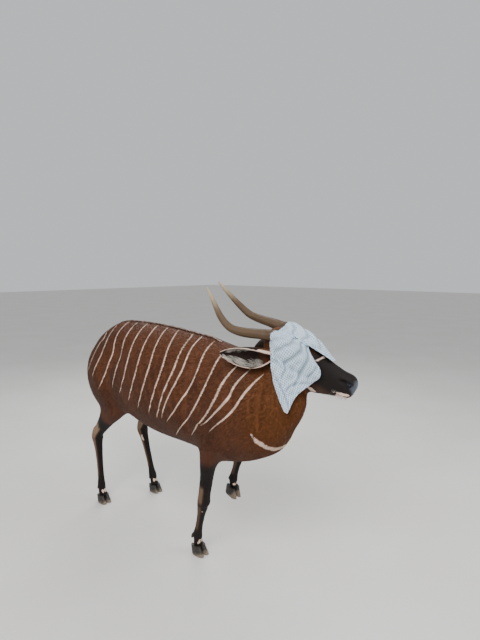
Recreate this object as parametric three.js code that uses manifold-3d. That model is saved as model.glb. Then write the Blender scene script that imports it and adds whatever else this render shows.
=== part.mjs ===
// A grown bongo antelope as a life-size museum model. It stands on three feet with its left forefoot
// lifted, its head low and turned a little to its left, and wears a light checked cloth over its eyes.
// Lengths are millimetres and angles degrees. +X is where the trunk points, +Y is the animal's left,
// +Z is up and the floor is z = 0.
import * as THREE from "three";
import { mergeVertices } from "three/addons/utils/BufferGeometryUtils.js";
import Module from "manifold-3d";

const wasm = await Module();
wasm.setup();

// Driving dimensions
const CENTRE_X = 300; // middle of the model's length, ahead of the trunk's own zero
const CENTRE_Y = -14; // middle of the model's width
const GAP = 0.3; // air between two nodes that touch

const FOREHEAD = new THREE.Vector3(970, 34, 1250); // top of the face between the horns
const HEAD_YAW = 23; // head turned to the animal's left
const HEAD_PITCH = 38; // face line below the level
const HEAD_ROLL = 18; // head leaning over to its right
const HEAD_LENGTH = 378; // forehead to the tip of the nose

// Places on the left of the head, in the head's own frame: the face line is z = 0, +X points at the
// nose, +Y to the left, and the origin is FOREHEAD. The right side mirrors them.
const EYE_RADIUS = 19;
const EYE_PLACE = [112, 56, -60];
const EAR_ROOT = [-34, 64, -148];
const EAR_TIPS = { left: [-150, 150, -344], right: [-221, 180, -263] };
const EAR_HALF_WIDTH = 54;
const HORN_ROOT = [0, 38, -26];
const NOSTRIL_PLACE = [326, 36, -34];
const MOUTH_CORNER = [282, 0, -124];
const MOUTH_FRONT = [386, 0, -66];
const MOUTH_DEPTH = 5;

const HOOF_LENGTH = 86;
const CLAW_WIDTH = 32;
const CLAW_SPREAD = 18; // middle of a claw from the middle of the foot
const CORONET_HEIGHT = 50; // top of the hoof above the sole

const LEAN = -14; // the trunk leans over the right forefoot, because the left one is lifted
const TAIL_LENGTH = 560; // to the tips of its tuft
const MANE_FRONT = 500; // the crest of hair along the back runs from here
const MANE_REAR = -430; // to here
const MANE_LOCK = 46; // how long its locks show
const LOCK_ROOT = 16; // how deep a lock is rooted

// Where the body is parted
const NECK_BASE = { through: [604, 0, 1190], normal: [0.906, 0, 0.422] };
const TAIL_BASE = { through: [-549, 0, 0], normal: [-1, 0, 0] };
const THIGH_INSIDE = 40; // inner wall of a leg's own flesh, from the middle of the trunk
const HEAD_SLEEVE = 12; // flesh of the neck that goes with the head, round its back

const LEFT = new THREE.Vector3(0, 1, 0);
const SIDES = [
  { name: "left", sign: 1 },
  { name: "right", sign: -1 },
];

// Finishes, for the plain look of the solids
const finish = (colour, roughness = 0.8) =>
  new THREE.MeshStandardMaterial({ color: colour, roughness, metalness: 0 });
const COAT = finish(0x8a4420);
const NECK_COAT = finish(0x9a5227);
const LEG_COAT = finish(0x2c1e1b);
const FACE_COAT = finish(0x5b3d30);
const HORN = finish(0x5a4c40, 0.45);
const HOOF = finish(0x2a2522, 0.4);
const EYE = finish(0x0c0907, 0.05);
const CLOTH = finish(0xc3d2dc, 0.9);

// Solids and their geometry
function solidOf(geometry) {
  const bare = geometry.clone();
  bare.deleteAttribute("normal");
  bare.deleteAttribute("uv");
  const merged = mergeVertices(bare, 1e-4);
  return new wasm.Manifold(
    new wasm.Mesh({
      numProp: 3,
      vertProperties: new Float32Array(merged.attributes.position.array),
      triVerts: new Uint32Array(merged.index.array),
    }),
  );
}

function largestOf(solid) {
  const parts = solid.decompose();
  return parts.reduce((best, part) => (part.volume() > best.volume() ? part : best));
}

function geometryOf(solid) {
  const mesh = largestOf(solid).getMesh();
  const geometry = new THREE.BufferGeometry();
  geometry.setAttribute("position", new THREE.BufferAttribute(mesh.vertProperties, 3));
  geometry.setIndex(new THREE.BufferAttribute(mesh.triVerts, 1));
  geometry.computeVertexNormals();
  return geometry;
}

const joined = (solids) => solids.reduce((whole, solid) => whole.add(solid));
const without = (solid, others) => others.reduce((rest, other) => rest.subtract(other), solid);

// A closed body through rings of points that all hold the same even number. Each end is closed by
// strips from one half of its ring straight across to the other.
function ringBody(rings) {
  const count = rings[0].length;
  const points = rings.flat();
  const last = points.length - count;
  const faces = [];
  for (let step = 0; step < count; step += 1) {
    const next = (step + 1) % count;
    for (let low = 0; low < last; low += count) {
      const high = low + count;
      faces.push(low + step, low + next, high + step, low + next, high + next, high + step);
    }
  }
  for (let near = 0; near < count / 2 - 1; near += 1) {
    const far = count - 1 - near;
    faces.push(near, far - 1, near + 1, near, far, far - 1);
    faces.push(last + near, last + near + 1, last + far - 1, last + near, last + far - 1, last + far);
  }
  const geometry = new THREE.BufferGeometry().setFromPoints(points);
  geometry.setIndex(faces);
  return solidOf(geometry);
}

// One station of a loft: the middle of its section, its half width, its half depths above and below
// the middle, how square it is (2 is an ellipse) and how far it is turned about the path.
const at = (x, y, z, side, up, down = up, square = 2, turn = 0) => ({
  middle: new THREE.Vector3(x, y, z),
  sizes: new THREE.Vector3(side, up, down),
  square,
  turn,
});

// A closed body drawn smoothly through its stations. `across` is the direction of the half width.
class Loft {
  constructor(stations, { rings, sides, across = LEFT }) {
    this.stations = stations;
    this.rings = rings;
    this.sides = sides;
    this.across = across;
    this.path = new THREE.CatmullRomCurve3(stations.map((one) => one.middle));
    this.sizes = new THREE.CatmullRomCurve3(stations.map((one) => one.sizes));
  }

  blend(key, t) {
    const place = t * (this.stations.length - 1);
    const low = Math.min(Math.floor(place), this.stations.length - 2);
    return THREE.MathUtils.lerp(this.stations[low][key], this.stations[low + 1][key], place - low);
  }

  // The ring at share t of the way along, made larger by `grow` on every side.
  ring(t, grow) {
    const along = this.path.getTangent(t);
    const side = this.across.clone().addScaledVector(along, -this.across.dot(along)).normalize();
    side.applyAxisAngle(along, this.blend("turn", t));
    const up = new THREE.Vector3().crossVectors(along, side);
    const size = this.sizes.getPoint(t);
    const power = 2 / this.blend("square", t);
    const middle = this.path.getPoint(t).addScaledVector(along, (2 * t - 1) * grow);
    return Array.from({ length: this.sides }, (_, step) => {
      const angle = (2 * Math.PI * step) / this.sides;
      const over = Math.sign(Math.cos(angle)) * Math.abs(Math.cos(angle)) ** power;
      const rise = Math.sign(Math.sin(angle)) * Math.abs(Math.sin(angle)) ** power;
      return middle
        .clone()
        .addScaledVector(side, over * (size.x + grow))
        .addScaledVector(up, rise * ((rise > 0 ? size.y : size.z) + grow));
    });
  }

  solid(grow = 0) {
    const { rings } = this;
    return ringBody(Array.from({ length: rings + 1 }, (_, index) => this.ring(index / rings, grow)));
  }
}

// A muscle or bulge: an ellipsoid of three half sizes, tipped forward by an angle.
function bulge(place, halves, tip = 0) {
  const ball = new THREE.SphereGeometry(1, 12, 8);
  ball.scale(...halves);
  ball.rotateY(THREE.MathUtils.degToRad(tip));
  ball.translate(...place);
  return solidOf(ball);
}

// Seeded random numbers from 0 to 1.
function randomFrom(seed) {
  let state = seed;
  return () => {
    state = (state * 16807) % 2147483647;
    return state / 2147483647;
  };
}

// A flat, tapered lock of hair. It leaves its root along `lean`, turns towards `fall` on its way to
// the tip, and its half width lies along `wide`.
function lock({ root, lean, fall, wide, length, width, thick }) {
  const shape = [
    { t: 0, share: 0.7 },
    { t: 0.3, share: 1 },
    { t: 0.66, share: 0.8 },
    { t: 1, share: 0.1 },
  ];
  const stations = shape.map(({ t, share }) => {
    const spot = root
      .clone()
      .addScaledVector(lean, length * t)
      .addScaledVector(fall, length * t * t);
    return at(...spot, (width * share) / 2, (thick * share) / 2);
  });
  return new Loft(stations, { rings: 4, sides: 4, across: wide }).solid();
}

// What lies beyond a plane, in the direction of its normal, and `gap` clear of it.
function beyond(solid, { through, normal }, gap) {
  const direction = new THREE.Vector3(...normal).normalize();
  return solid.trimByPlane([...direction], direction.dot(new THREE.Vector3(...through)) + gap);
}
const opposite = ({ through, normal }) => ({ through, normal: normal.map((value) => -value) });

// Trunk
const TRUNK = [
  at(-572, LEAN, 958, 22, 34, 34),
  at(-560, LEAN, 956, 92, 116, 108),
  at(-520, LEAN, 952, 150, 182, 178),
  at(-420, LEAN, 952, 196, 240, 232),
  at(-280, LEAN, 946, 222, 276, 262),
  at(-80, LEAN, 924, 246, 300, 330),
  at(120, LEAN, 908, 254, 306, 344),
  at(300, LEAN, 895, 244, 304, 332),
  at(430, LEAN, 885, 230, 294, 328),
  at(560, LEAN, 868, 212, 290, 330),
  at(680, LEAN, 836, 190, 285, 326),
  at(790, LEAN / 2, 792, 166, 254, 264),
  at(875, 0, 754, 134, 178, 178),
  at(936, 0, 726, 74, 92, 84),
];
const trunkLoft = new Loft(TRUNK, { rings: 20, sides: 22 });
const muscles = SIDES.flatMap(({ sign }) => [
  bulge([600, LEAN + sign * 138, 850], [120, 72, 230], 24),
  bulge([-370, LEAN + sign * 128, 868], [196, 104, 230], -16),
]);

// The crest of hair along the back: two rows of low locks that lie back and overlap
function backAt(x) {
  const path = trunkLoft.path;
  let low = 0;
  let high = 1;
  for (let step = 0; step < 24; step += 1) {
    const middle = (low + high) / 2;
    [low, high] = path.getPoint(middle).x < x ? [middle, high] : [low, middle];
  }
  return new THREE.Vector3(x, LEAN, path.getPoint(low).z + trunkLoft.sizes.getPoint(low).y);
}

function maneLocks() {
  const random = randomFrom(7);
  const step = 46;
  const rows = SIDES.flatMap(({ sign }) => {
    const places = [];
    for (let x = MANE_REAR + sign * 0.25 * step; x <= MANE_FRONT; x += step) {
      places.push({ x: x + 8 * random(), sign });
    }
    return places;
  });
  return rows.map(({ x, sign }) => {
    const side = new THREE.Vector3(0, sign * (0.06 + 0.14 * random()), 0);
    const rearward = backAt(x - 20).sub(backAt(x + 20)).normalize();
    const upward = new THREE.Vector3().crossVectors(rearward, LEFT);
    const mix = (rear, rise) => rearward.clone().multiplyScalar(rear).addScaledVector(upward, rise);
    return lock({
      root: backAt(x).addScaledVector(upward, -LOCK_ROOT).addScaledVector(LEFT, sign * 5),
      lean: mix(0.8, 0.6).add(side),
      fall: mix(0.2, -0.22 - 0.08 * random()).add(side),
      wide: mix(-0.6, 0.8),
      length: LOCK_ROOT + MANE_LOCK * (0.85 + 0.3 * random()),
      width: 30,
      thick: 10,
    });
  });
}

// Neck
const NECK = [
  at(560, LEAN, 880, 150, 250, 250),
  at(690, LEAN, 893, 148, 236, 262),
  at(800, 0, 915, 128, 214, 240),
  at(880, 20, 950, 104, 188, 202),
  at(935, 36, 985, 78, 156, 152),
  at(966, 46, 1010, 58, 120, 102),
];
const neckLoft = new Loft(NECK, { rings: 10, sides: 20 });

// Head, in its own frame
const headFrame = new THREE.Matrix4()
  .makeRotationFromEuler(
    new THREE.Euler(
      THREE.MathUtils.degToRad(HEAD_ROLL),
      THREE.MathUtils.degToRad(HEAD_PITCH),
      THREE.MathUtils.degToRad(HEAD_YAW),
      "ZYX",
    ),
  )
  .setPosition(FOREHEAD);
const placed = (solid, frame) => solid.transform(frame.elements.slice());
const sided = ([x, y, z], sign) => [x, sign * y, z];

const SKULL = [
  at(-116, 0, -96, 30, 34, 34),
  at(-100, 0, -98, 50, 60, 60),
  at(-60, 0, -104, 70, 96, 100),
  at(0, 0, -112, 78, 112, 120),
  at(70, 0, -116, 75, 118, 120),
  at(140, 0, -112, 66, 114, 116),
  at(207, 0, -98, 55, 100, 104),
  at(262, 0, -80, 47, 83, 86, 2.1),
  at(310, 0, -66, 44, 70, 66, 2.3),
  at(345, 0, -56, 43, 58, 52, 2.4),
  at(368, 0, -52, 37, 44, 40, 2.3),
  at(HEAD_LENGTH, 0, -50, 22, 25, 25),
];
const skullLoft = new Loft(SKULL, { rings: 20, sides: 16 });
const hoodLoft = new Loft(SKULL, { rings: 12, sides: 12 });

function skullSolid(grow = 0) {
  const brows = SIDES.map(({ sign }) =>
    bulge(sided([EYE_PLACE[0], EYE_PLACE[1] - 4, EYE_PLACE[2]], sign), [30 + grow, 19 + grow, 23 + grow], 24),
  );
  return joined([skullLoft.solid(grow), ...brows]);
}

// The line of the mouth: a thin slab that reaches MOUTH_DEPTH into the lips.
function mouthLine() {
  const corner = new THREE.Vector3(...MOUTH_CORNER);
  const front = new THREE.Vector3(...MOUTH_FRONT);
  const slab = new THREE.BoxGeometry(corner.distanceTo(front), 120, 2.4);
  slab.rotateY(-Math.atan2(front.z - corner.z, front.x - corner.x));
  slab.translate(...corner.add(front).divideScalar(2));
  return solidOf(slab).subtract(skullLoft.solid(-MOUTH_DEPTH));
}

const nostrils = SIDES.map(({ sign }) => bulge(sided(NOSTRIL_PLACE, sign), [17, 9, 7], -38));

// Horns: one loose turn, back along the neck and up again at the tips
const HORN_LINE = [
  at(HORN_ROOT[0] + 18, HORN_ROOT[1] - 4, HORN_ROOT[2] - 22, 32, 37, 33, 2, 0),
  at(HORN_ROOT[0] - 24, HORN_ROOT[1] + 4, HORN_ROOT[2] - 2, 33, 38, 34, 2, 0.4),
  at(-80, 54, -60, 28, 31, 28, 2.1, 0.9),
  at(-140, 74, -96, 26, 29, 25, 2.1, 1.5),
  at(-205, 92, -138, 23, 26, 22, 2.1, 2.2),
  at(-265, 98, -163, 20, 22, 19, 2, 2.9),
  at(-330, 92, -157, 18, 19, 16, 2, 3.6),
  at(-390, 76, -138, 14, 15, 13, 2, 4.3),
  at(-445, 62, -118, 9, 9, 8, 2, 5.0),
  at(-484, 53, -106, 2.5, 2.5, 2.5, 2, 5.5),
];

// Ears: a leaf rolled into a cup that is all but closed at its root and opens outwards
const EAR_WALL = { root: 7, tip: 3 };

function earShape(sign) {
  const root = new THREE.Vector3(...sided(EAR_ROOT, sign));
  const tip = new THREE.Vector3(...sided(sign > 0 ? EAR_TIPS.left : EAR_TIPS.right, sign));
  const along = tip.clone().sub(root).normalize();
  const out = new THREE.Vector3(0.2, sign, 0.12);
  out.addScaledVector(along, -out.dot(along)).normalize();
  const wide = new THREE.Vector3().crossVectors(out, along);
  const wallAt = (t) => THREE.MathUtils.lerp(EAR_WALL.root, EAR_WALL.tip, t);
  // A place on the leaf: t from root to tip, share from -1 to 1 across it, reach out of its back.
  const spot = (t, share, reach) => {
    const half = 4 + EAR_HALF_WIDTH * Math.sin(Math.PI * (0.13 + 0.87 * t)) ** 0.72;
    const roll = THREE.MathUtils.degToRad(138 - 78 * t ** 0.6);
    const radius = half / Math.sin(Math.min(roll, Math.PI / 2));
    return root
      .clone()
      .lerp(tip, t)
      .addScaledVector(wide, (radius + reach) * Math.sin(share * roll))
      .addScaledVector(out, radius - (radius + reach) * Math.cos(share * roll));
  };
  return { along, wallAt, spot };
}

function earSolid(sign, grow = 0) {
  const { wallAt, spot } = earShape(sign);
  const lengthwise = 12;
  const crosswise = 6;
  const rings = Array.from({ length: lengthwise + 1 }, (_, index) => {
    const t = index / lengthwise;
    const half = wallAt(t) / 2 + grow;
    const shares = Array.from({ length: crosswise + 1 }, (_, step) => (2 * step) / crosswise - 1);
    const back = shares.map((share) => spot(t, share, half));
    const front = shares.toReversed().map((share) => spot(t, share, -half));
    return [...back, ...front];
  });
  return ringBody(rings);
}

// The fringe inside an ear: locks that leave its wall near both edges and point along it
function earLocks(sign) {
  const { along, wallAt, spot } = earShape(sign);
  const random = randomFrom(sign > 0 ? 23 : 29);
  const places = [
    [0.3, -0.72],
    [0.44, -0.78],
    [0.58, -0.8],
    [0.34, 0.7],
    [0.5, 0.76],
    [0.66, 0.78],
  ];
  return places.map(([t, share]) => {
    const wall = spot(t, share, 0);
    const inward = spot(t, share, -1).sub(wall);
    const edge = spot(t, share + 0.05, 0).sub(wall).normalize();
    return lock({
      root: wall.addScaledVector(inward, wallAt(t) * 0.1),
      lean: along.clone().multiplyScalar(0.8).addScaledVector(inward, 0.5),
      fall: inward.clone().multiplyScalar(-0.12),
      wide: edge,
      length: 46 + 10 * random(),
      width: 15,
      thick: 4,
    });
  });
}

// Legs: how thick the flesh is along each bone, from the top down
const bone = (index, share, side, front, back = front) => ({ index, share, side, front, back });
const FOOT_FLESH = [
  bone(2, 0.8, 24, 23, 28),
  bone(3, 0.0, 31, 29, 34),
  bone(3, 0.5, 28, 26, 28),
  bone(3, 1.0, 33, 32, 32),
];
const FORE_FLESH = [
  bone(0, 0.0, 60, 90, 96),
  bone(0, 0.55, 64, 94, 90),
  bone(0, 1.0, 57, 68, 68),
  bone(1, 0.28, 47, 54, 48),
  bone(1, 0.6, 38, 46, 38),
  bone(1, 0.85, 35, 39, 36),
  bone(2, 0.0, 38, 40, 36),
  bone(2, 0.16, 33, 34, 33),
  bone(2, 0.4, 26, 26, 28),
  ...FOOT_FLESH,
];
const HIND_FLESH = [
  bone(0, 0.0, 86, 140, 146),
  bone(0, 0.5, 88, 152, 160),
  bone(1, 0.0, 72, 104, 128),
  bone(1, 0.3, 56, 74, 94),
  bone(1, 0.62, 41, 49, 60),
  bone(1, 0.86, 33, 37, 53),
  bone(2, 0.0, 37, 41, 48),
  bone(2, 0.16, 32, 35, 39),
  bone(2, 0.42, 26, 27, 29),
  ...FOOT_FLESH,
];

// Each leg's joints: shoulder or hip, elbow or stifle, knee or hock, fetlock, and the top of the hoof.
// `cut` is where the leg is parted from the trunk, `front` and `rear` are how far its flesh reaches
// along the trunk at the height of the elbow and at the floor, and `tip` turns the foot down.
const LEGS = [
  {
    name: "foreleg_right",
    hoof: "hoof_fore_right",
    side: -1,
    flesh: FORE_FLESH,
    joints: [[672, -134, 800], [556, -146, 620], [498, -137, 322], [436, -121, 106], [434, -117, 48]],
    cut: { through: [560, -140, 650], normal: [0, 0.2, -0.98] },
    front: [665, 560],
    rear: [445, 370],
    tip: 0,
  },
  {
    name: "foreleg_left",
    hoof: "hoof_fore_left",
    side: 1,
    flesh: FORE_FLESH,
    joints: [[590, 108, 870], [385, 132, 730], [503, 146, 506], [450, 150, 340], [448, 150, 294]],
    cut: { through: [420, 140, 650], normal: [0, -0.2, -0.98] },
    front: [560, 620],
    rear: [325, 325],
    tip: 20,
  },
  {
    name: "hindleg_right",
    hoof: "hoof_hind_right",
    side: -1,
    flesh: HIND_FLESH,
    joints: [[-345, -114, 930], [-265, -156, 700], [-505, -146, 452], [-478, -142, 106], [-468, -142, 48]],
    cut: { through: [-300, -140, 730], normal: [0, 0.35, -0.94] },
    front: [-135, -300],
    rear: [-600, -600],
    tip: 0,
  },
  {
    name: "hindleg_left",
    hoof: "hoof_hind_left",
    side: 1,
    flesh: HIND_FLESH,
    joints: [[-345, 90, 930], [-230, 146, 702], [-440, 168, 438], [-350, 184, 108], [-338, 186, 48]],
    cut: { through: [-300, 150, 730], normal: [0, -0.35, -0.94] },
    front: [-95, -180],
    rear: [-600, -600],
    tip: 0,
  },
];
const ELBOW_HEIGHT = 650;

// The walls round a leg's own flesh, each facing into it.
function wallsOf({ side, cut, front, rear }) {
  const lean = ([top, bottom], facing) => ({
    through: [bottom, 0, 0],
    normal: [facing * ELBOW_HEIGHT, 0, -facing * (top - bottom)],
  });
  const inside = { through: [0, side * THIGH_INSIDE, 0], normal: [0, side, 0] };
  return [cut, lean(front, -1), lean(rear, 1), inside];
}

function legLoft({ joints, flesh }, { rings, sides }) {
  const points = joints.map((joint) => new THREE.Vector3(...joint));
  const stations = flesh.map(({ index, share, side, front, back }) =>
    at(...points[index].clone().lerp(points[index + 1], share), side, front, back),
  );
  return new Loft(stations, { rings, sides });
}

// A foot's own frame: its origin is on the sole under the top of the hoof, +X forward.
function footFrame({ joints, tip }) {
  const frame = new THREE.Matrix4().makeRotationY(THREE.MathUtils.degToRad(tip));
  const drop = new THREE.Vector3(0, 0, -CORONET_HEIGHT).applyMatrix4(frame);
  const top = new THREE.Vector3(...joints[4]);
  return frame.setPosition(tip === 0 ? top.setZ(0) : top.add(drop));
}

// One claw, with a flat sole at z = 0 and a flat top where the skin of the foot begins.
function clawSolid(sign) {
  const half = CLAW_WIDTH / 2;
  const spread = sign * CLAW_SPREAD;
  const claw = new Loft(
    [
      at(-4, spread, CORONET_HEIGHT + 12, half, 30, 30),
      at(0, spread, CORONET_HEIGHT * 0.7, half + 1, 33, 32, 2.1),
      at(8, spread, CORONET_HEIGHT * 0.3, half + 1.5, HOOF_LENGTH * 0.46, 36, 2.2),
      at(14, spread, -8, half + 1.5, HOOF_LENGTH * 0.56, 38, 2.3),
    ],
    { rings: 3, sides: 12 },
  );
  const sole = { through: [0, 0, 0], normal: [0, 0, 1] };
  const coronet = { through: [0, 0, CORONET_HEIGHT], normal: [0, 0, -1] };
  const cleft = { through: [0, sign * 1.5, 0], normal: [0, sign, 0] };
  return [sole, coronet, cleft].reduce((solid, plane) => beyond(solid, plane, 0), claw.solid());
}

function dewclawSolid(sign) {
  const stations = [
    at(-16, sign * 13, CORONET_HEIGHT + 66, 9, 9),
    at(-31, sign * 17, CORONET_HEIGHT + 50, 11, 10),
    at(-40, sign * 18, CORONET_HEIGHT + 30, 6, 6),
  ];
  return new Loft(stations, { rings: 3, sides: 6 }).solid();
}

// Tail, with a tuft of locks round its last third
const TAIL_TOP = 1085;
const TUFT_TOP = 360; // from the top of the tail down to the first locks
const tailLoft = new Loft(
  [
    at(-490, LEAN, TAIL_TOP + 22, 40, 34),
    at(-552, LEAN, TAIL_TOP - 14, 32, 27),
    at(-590, LEAN, TAIL_TOP - 90, 24, 21),
    at(-602, LEAN, TAIL_TOP - 200, 18, 17),
    at(-605, LEAN, TAIL_TOP - 330, 14, 14),
    at(-604, LEAN, TAIL_TOP - TUFT_TOP - 60, 15, 15),
    at(-602, LEAN, TAIL_TOP - TUFT_TOP - 100, 6, 6),
  ],
  { rings: 13, sides: 10 },
);

function tuftLocks() {
  const random = randomFrom(11);
  const rows = 2;
  const around = 5;
  const length = TAIL_LENGTH - TUFT_TOP;
  return Array.from({ length: rows * around }, (_, index) => {
    const row = Math.floor(index / around);
    const angle = (2 * Math.PI * (index + 0.5 * row + 0.3 * random())) / around;
    const out = new THREE.Vector3(Math.cos(angle), Math.sin(angle), 0);
    const reach = length * (0.58 + 0.12 * random());
    const height = TAIL_TOP - TUFT_TOP - (length * 0.3 * row) / (rows - 1);
    return lock({
      root: new THREE.Vector3(-604, LEAN, height).addScaledVector(out, 3),
      lean: new THREE.Vector3(0, 0, -1).addScaledVector(out, 0.3 - 0.04 * row),
      fall: out.clone().multiplyScalar(-0.16),
      wide: new THREE.Vector3(-Math.sin(angle), Math.cos(angle), 0),
      length: reach,
      width: 24,
      thick: 10,
    });
  });
}

// Cloth over the eyes: it lies on the brow, hangs down both cheeks and ends in a corner at the right
const DRAPE = [
  at(-92, -8, -70, 62, 62, 62),
  at(-62, -6, -86, 92, 98, 100),
  at(-10, 0, -100, 99, 126, 128),
  at(50, 2, -106, 98, 142, 138),
  at(110, 2, -102, 91, 132, 126),
  at(160, 2, -92, 82, 106, 104),
  at(204, 2, -80, 76, 88, 78),
];
const CORNER_RIGHT = [
  at(64, -100, -66, 14, 96, 84),
  at(102, -124, -117, 13, 104, 104),
  at(140, -146, -190, 13, 64, 64),
  at(176, -168, -232, 11, 38, 40),
  at(201, -190, -254, 8, 15, 15),
  at(209, -197, -264, 4, 4, 4),
];
const CORNER_LEFT = [
  at(80, 88, -110, 12, 62, 58),
  at(84, 94, -180, 11, 46, 44),
  at(86, 96, -225, 7, 14, 14),
];
const CLOTH_AIR = 1.2; // off the neck, horns, eyes and ears
const CLOTH_SLACK = 14; // off the skull, under its folds

// Assembly
const animal = new THREE.Group();

function add(name, solid, material) {
  const mesh = new THREE.Mesh(geometryOf(solid), material);
  mesh.name = name;
  animal.add(mesh);
}

const legs = LEGS.map((leg) => ({
  ...leg,
  loft: legLoft(leg, { rings: 22, sides: 12 }),
  walls: wallsOf(leg),
  frame: footFrame(leg),
}));
const skull = placed(skullSolid(), headFrame);
const flesh = joined([
  trunkLoft.solid(),
  ...muscles,
  neckLoft.solid(),
  skull,
  ...maneLocks(),
  tailLoft.solid(),
  ...legs.map((leg) => leg.loft.solid()),
]);
const within = (solid, walls, gap) => walls.reduce((rest, wall) => beyond(rest, wall, gap), solid);
const room = solidOf(new THREE.BoxGeometry(3000, 1200, 3000));
const legRooms = legs.map((leg) => within(room, leg.walls, -GAP));
const hood = (grow) => placed(hoodLoft.solid(HEAD_SLEEVE + grow), headFrame);

const sideParts = (make) =>
  SIDES.map(({ name, sign }) => ({
    name,
    sign,
    solid: placed(make(sign, 0), headFrame),
    clear: placed(make(sign, GAP), headFrame),
    wide: placed(make(sign, CLOTH_AIR), headFrame),
  }));
const mirror = new THREE.Matrix4().makeScale(1, -1, 1);
const horns = sideParts((sign, grow) => {
  const left = new Loft(HORN_LINE, { rings: 22, sides: 10 }).solid(grow);
  return sign > 0 ? left : placed(left, mirror);
});
const eyes = sideParts((sign, grow) => {
  const size = EYE_RADIUS + grow;
  return bulge(sided(EYE_PLACE, sign), [size, size, size]);
});
const ears = sideParts(earSolid);

const ahead = beyond(flesh, NECK_BASE, GAP / 2);
const behind = beyond(flesh, opposite(NECK_BASE), GAP / 2);
const tail = beyond(joined([tailLoft.solid(), ...tuftLocks()]), TAIL_BASE, 0);
const tailClear = beyond(tailLoft.solid(GAP), TAIL_BASE, -GAP);

add("torso", without(behind, [...legRooms, tailClear]), COAT);
add("neck", ahead.subtract(hood(GAP)), NECK_COAT);
const head = ahead.intersect(hood(0));
const carved = [...horns, ...eyes].map((piece) => piece.clear);
const openings = [mouthLine(), ...nostrils].map((solid) => placed(solid, headFrame));
add("head", without(head, [...carved, ...openings]), FACE_COAT);
for (const horn of horns) {
  add(`horn_${horn.name}`, horn.solid, HORN);
}
for (const eye of eyes) {
  add(`eye_${eye.name}`, eye.solid, EYE);
}
const skullClear = placed(skullSolid(GAP), headFrame);
for (const ear of ears) {
  const whole = joined([ear.solid, ...earLocks(ear.sign).map((one) => placed(one, headFrame))]);
  add(`ear_${ear.name}`, without(whole, [skullClear, neckLoft.solid(GAP)]), COAT);
}

for (const leg of legs) {
  const coronet = {
    through: [...new THREE.Vector3(0, 0, CORONET_HEIGHT).applyMatrix4(leg.frame)],
    normal: [...new THREE.Vector3(0, 0, 1).transformDirection(leg.frame)],
  };
  add(leg.name, within(beyond(flesh, coronet, GAP), leg.walls, 0), LEG_COAT);
  for (const { name, sign } of SIDES) {
    add(`${leg.hoof}_claw_${name}`, placed(clawSolid(sign), leg.frame), HOOF);
    const dewclaw = placed(dewclawSolid(sign), leg.frame);
    add(`${leg.hoof}_dewclaw_${name}`, dewclaw.subtract(leg.loft.solid(GAP)), HOOF);
  }
}

add("tail", tail, COAT);

const drape = joined([
  new Loft(DRAPE, { rings: 9, sides: 16 }).solid(),
  new Loft(CORNER_RIGHT, { rings: 7, sides: 10 }).solid(),
  new Loft(CORNER_LEFT, { rings: 4, sides: 10 }).solid(),
]);
const underCloth = [
  placed(hoodLoft.solid(CLOTH_SLACK), headFrame),
  neckLoft.solid(CLOTH_AIR),
  ...[...horns, ...eyes, ...ears].map((piece) => piece.wide),
];
add("head_cloth", without(placed(drape, headFrame), underCloth), CLOTH);

animal.position.set(-CENTRE_X, -CENTRE_Y, 0);
const part = new THREE.Group();
part.add(animal);

export default part;
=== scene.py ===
"""A grown bongo antelope, life size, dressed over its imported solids.

It stands on three feet with its left forefoot lifted and its head low. It wears a light checked cloth
over its eyes. Sizes in the classes are millimetres, in the trunk's own frame or the head's.
"""
import logging
import math
from contextlib import contextmanager
from dataclasses import dataclass, field
from enum import Enum
from typing import Callable, Iterator, Sequence

import bpy
import numpy as np
from bpy.types import Material, Mesh
from mathutils import Matrix, Vector
from mathutils.bvhtree import BVHTree


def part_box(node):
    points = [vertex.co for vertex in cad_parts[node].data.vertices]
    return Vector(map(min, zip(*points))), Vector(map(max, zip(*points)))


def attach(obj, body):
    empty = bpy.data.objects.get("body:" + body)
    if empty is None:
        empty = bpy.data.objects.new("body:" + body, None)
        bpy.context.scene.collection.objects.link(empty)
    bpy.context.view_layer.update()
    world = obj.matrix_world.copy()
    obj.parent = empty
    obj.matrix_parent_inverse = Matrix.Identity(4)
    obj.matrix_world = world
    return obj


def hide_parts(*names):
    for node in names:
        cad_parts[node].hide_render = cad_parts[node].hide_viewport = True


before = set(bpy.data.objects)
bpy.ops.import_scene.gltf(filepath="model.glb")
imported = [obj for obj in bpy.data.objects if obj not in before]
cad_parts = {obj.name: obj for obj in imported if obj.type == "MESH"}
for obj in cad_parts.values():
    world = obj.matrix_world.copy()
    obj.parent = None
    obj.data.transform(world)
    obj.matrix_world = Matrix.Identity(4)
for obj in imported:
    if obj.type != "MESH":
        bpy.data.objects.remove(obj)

Array = np.ndarray
Piece = bpy.types.Object
Point = tuple[float, float, float]
Shares = dict[str, np.ndarray]  # one number a point, by name

log = logging.getLogger("bongo")
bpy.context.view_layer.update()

MM = 0.001
MIDPLANE = -14.0  # the trunk's middle plane, across
MIDDLE = np.array([300.0, MIDPLANE, 0.0])  # the row frame's zero, in the trunk's own millimetres
FOREHEAD = np.array([970.0, 34.0, 1250.0])
HEAD_YAW, HEAD_PITCH, HEAD_ROLL = 23.0, 38.0, 18.0
SIDES = {"left": 1.0, "right": -1.0}
EYE = np.array([112, 56, -60])  # the left eye's middle, in the head's millimetres
EYE_RADIUS = 19.0


# Places
def head_turn() -> Array:
    """The head's own directions.

    Returns:
        A matrix with them as its columns.
    """
    yaw = Matrix.Rotation(math.radians(HEAD_YAW), 3, "Z")
    pitch = Matrix.Rotation(math.radians(HEAD_PITCH), 3, "Y")
    return np.array(yaw @ pitch @ Matrix.Rotation(math.radians(HEAD_ROLL), 3, "X"))


HEAD_TURN = head_turn()


def to_row(points: Sequence | Array) -> Array:
    """Trunk millimetres to the row frame's metres."""
    return (np.asarray(points, float) - MIDDLE) * MM


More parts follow.
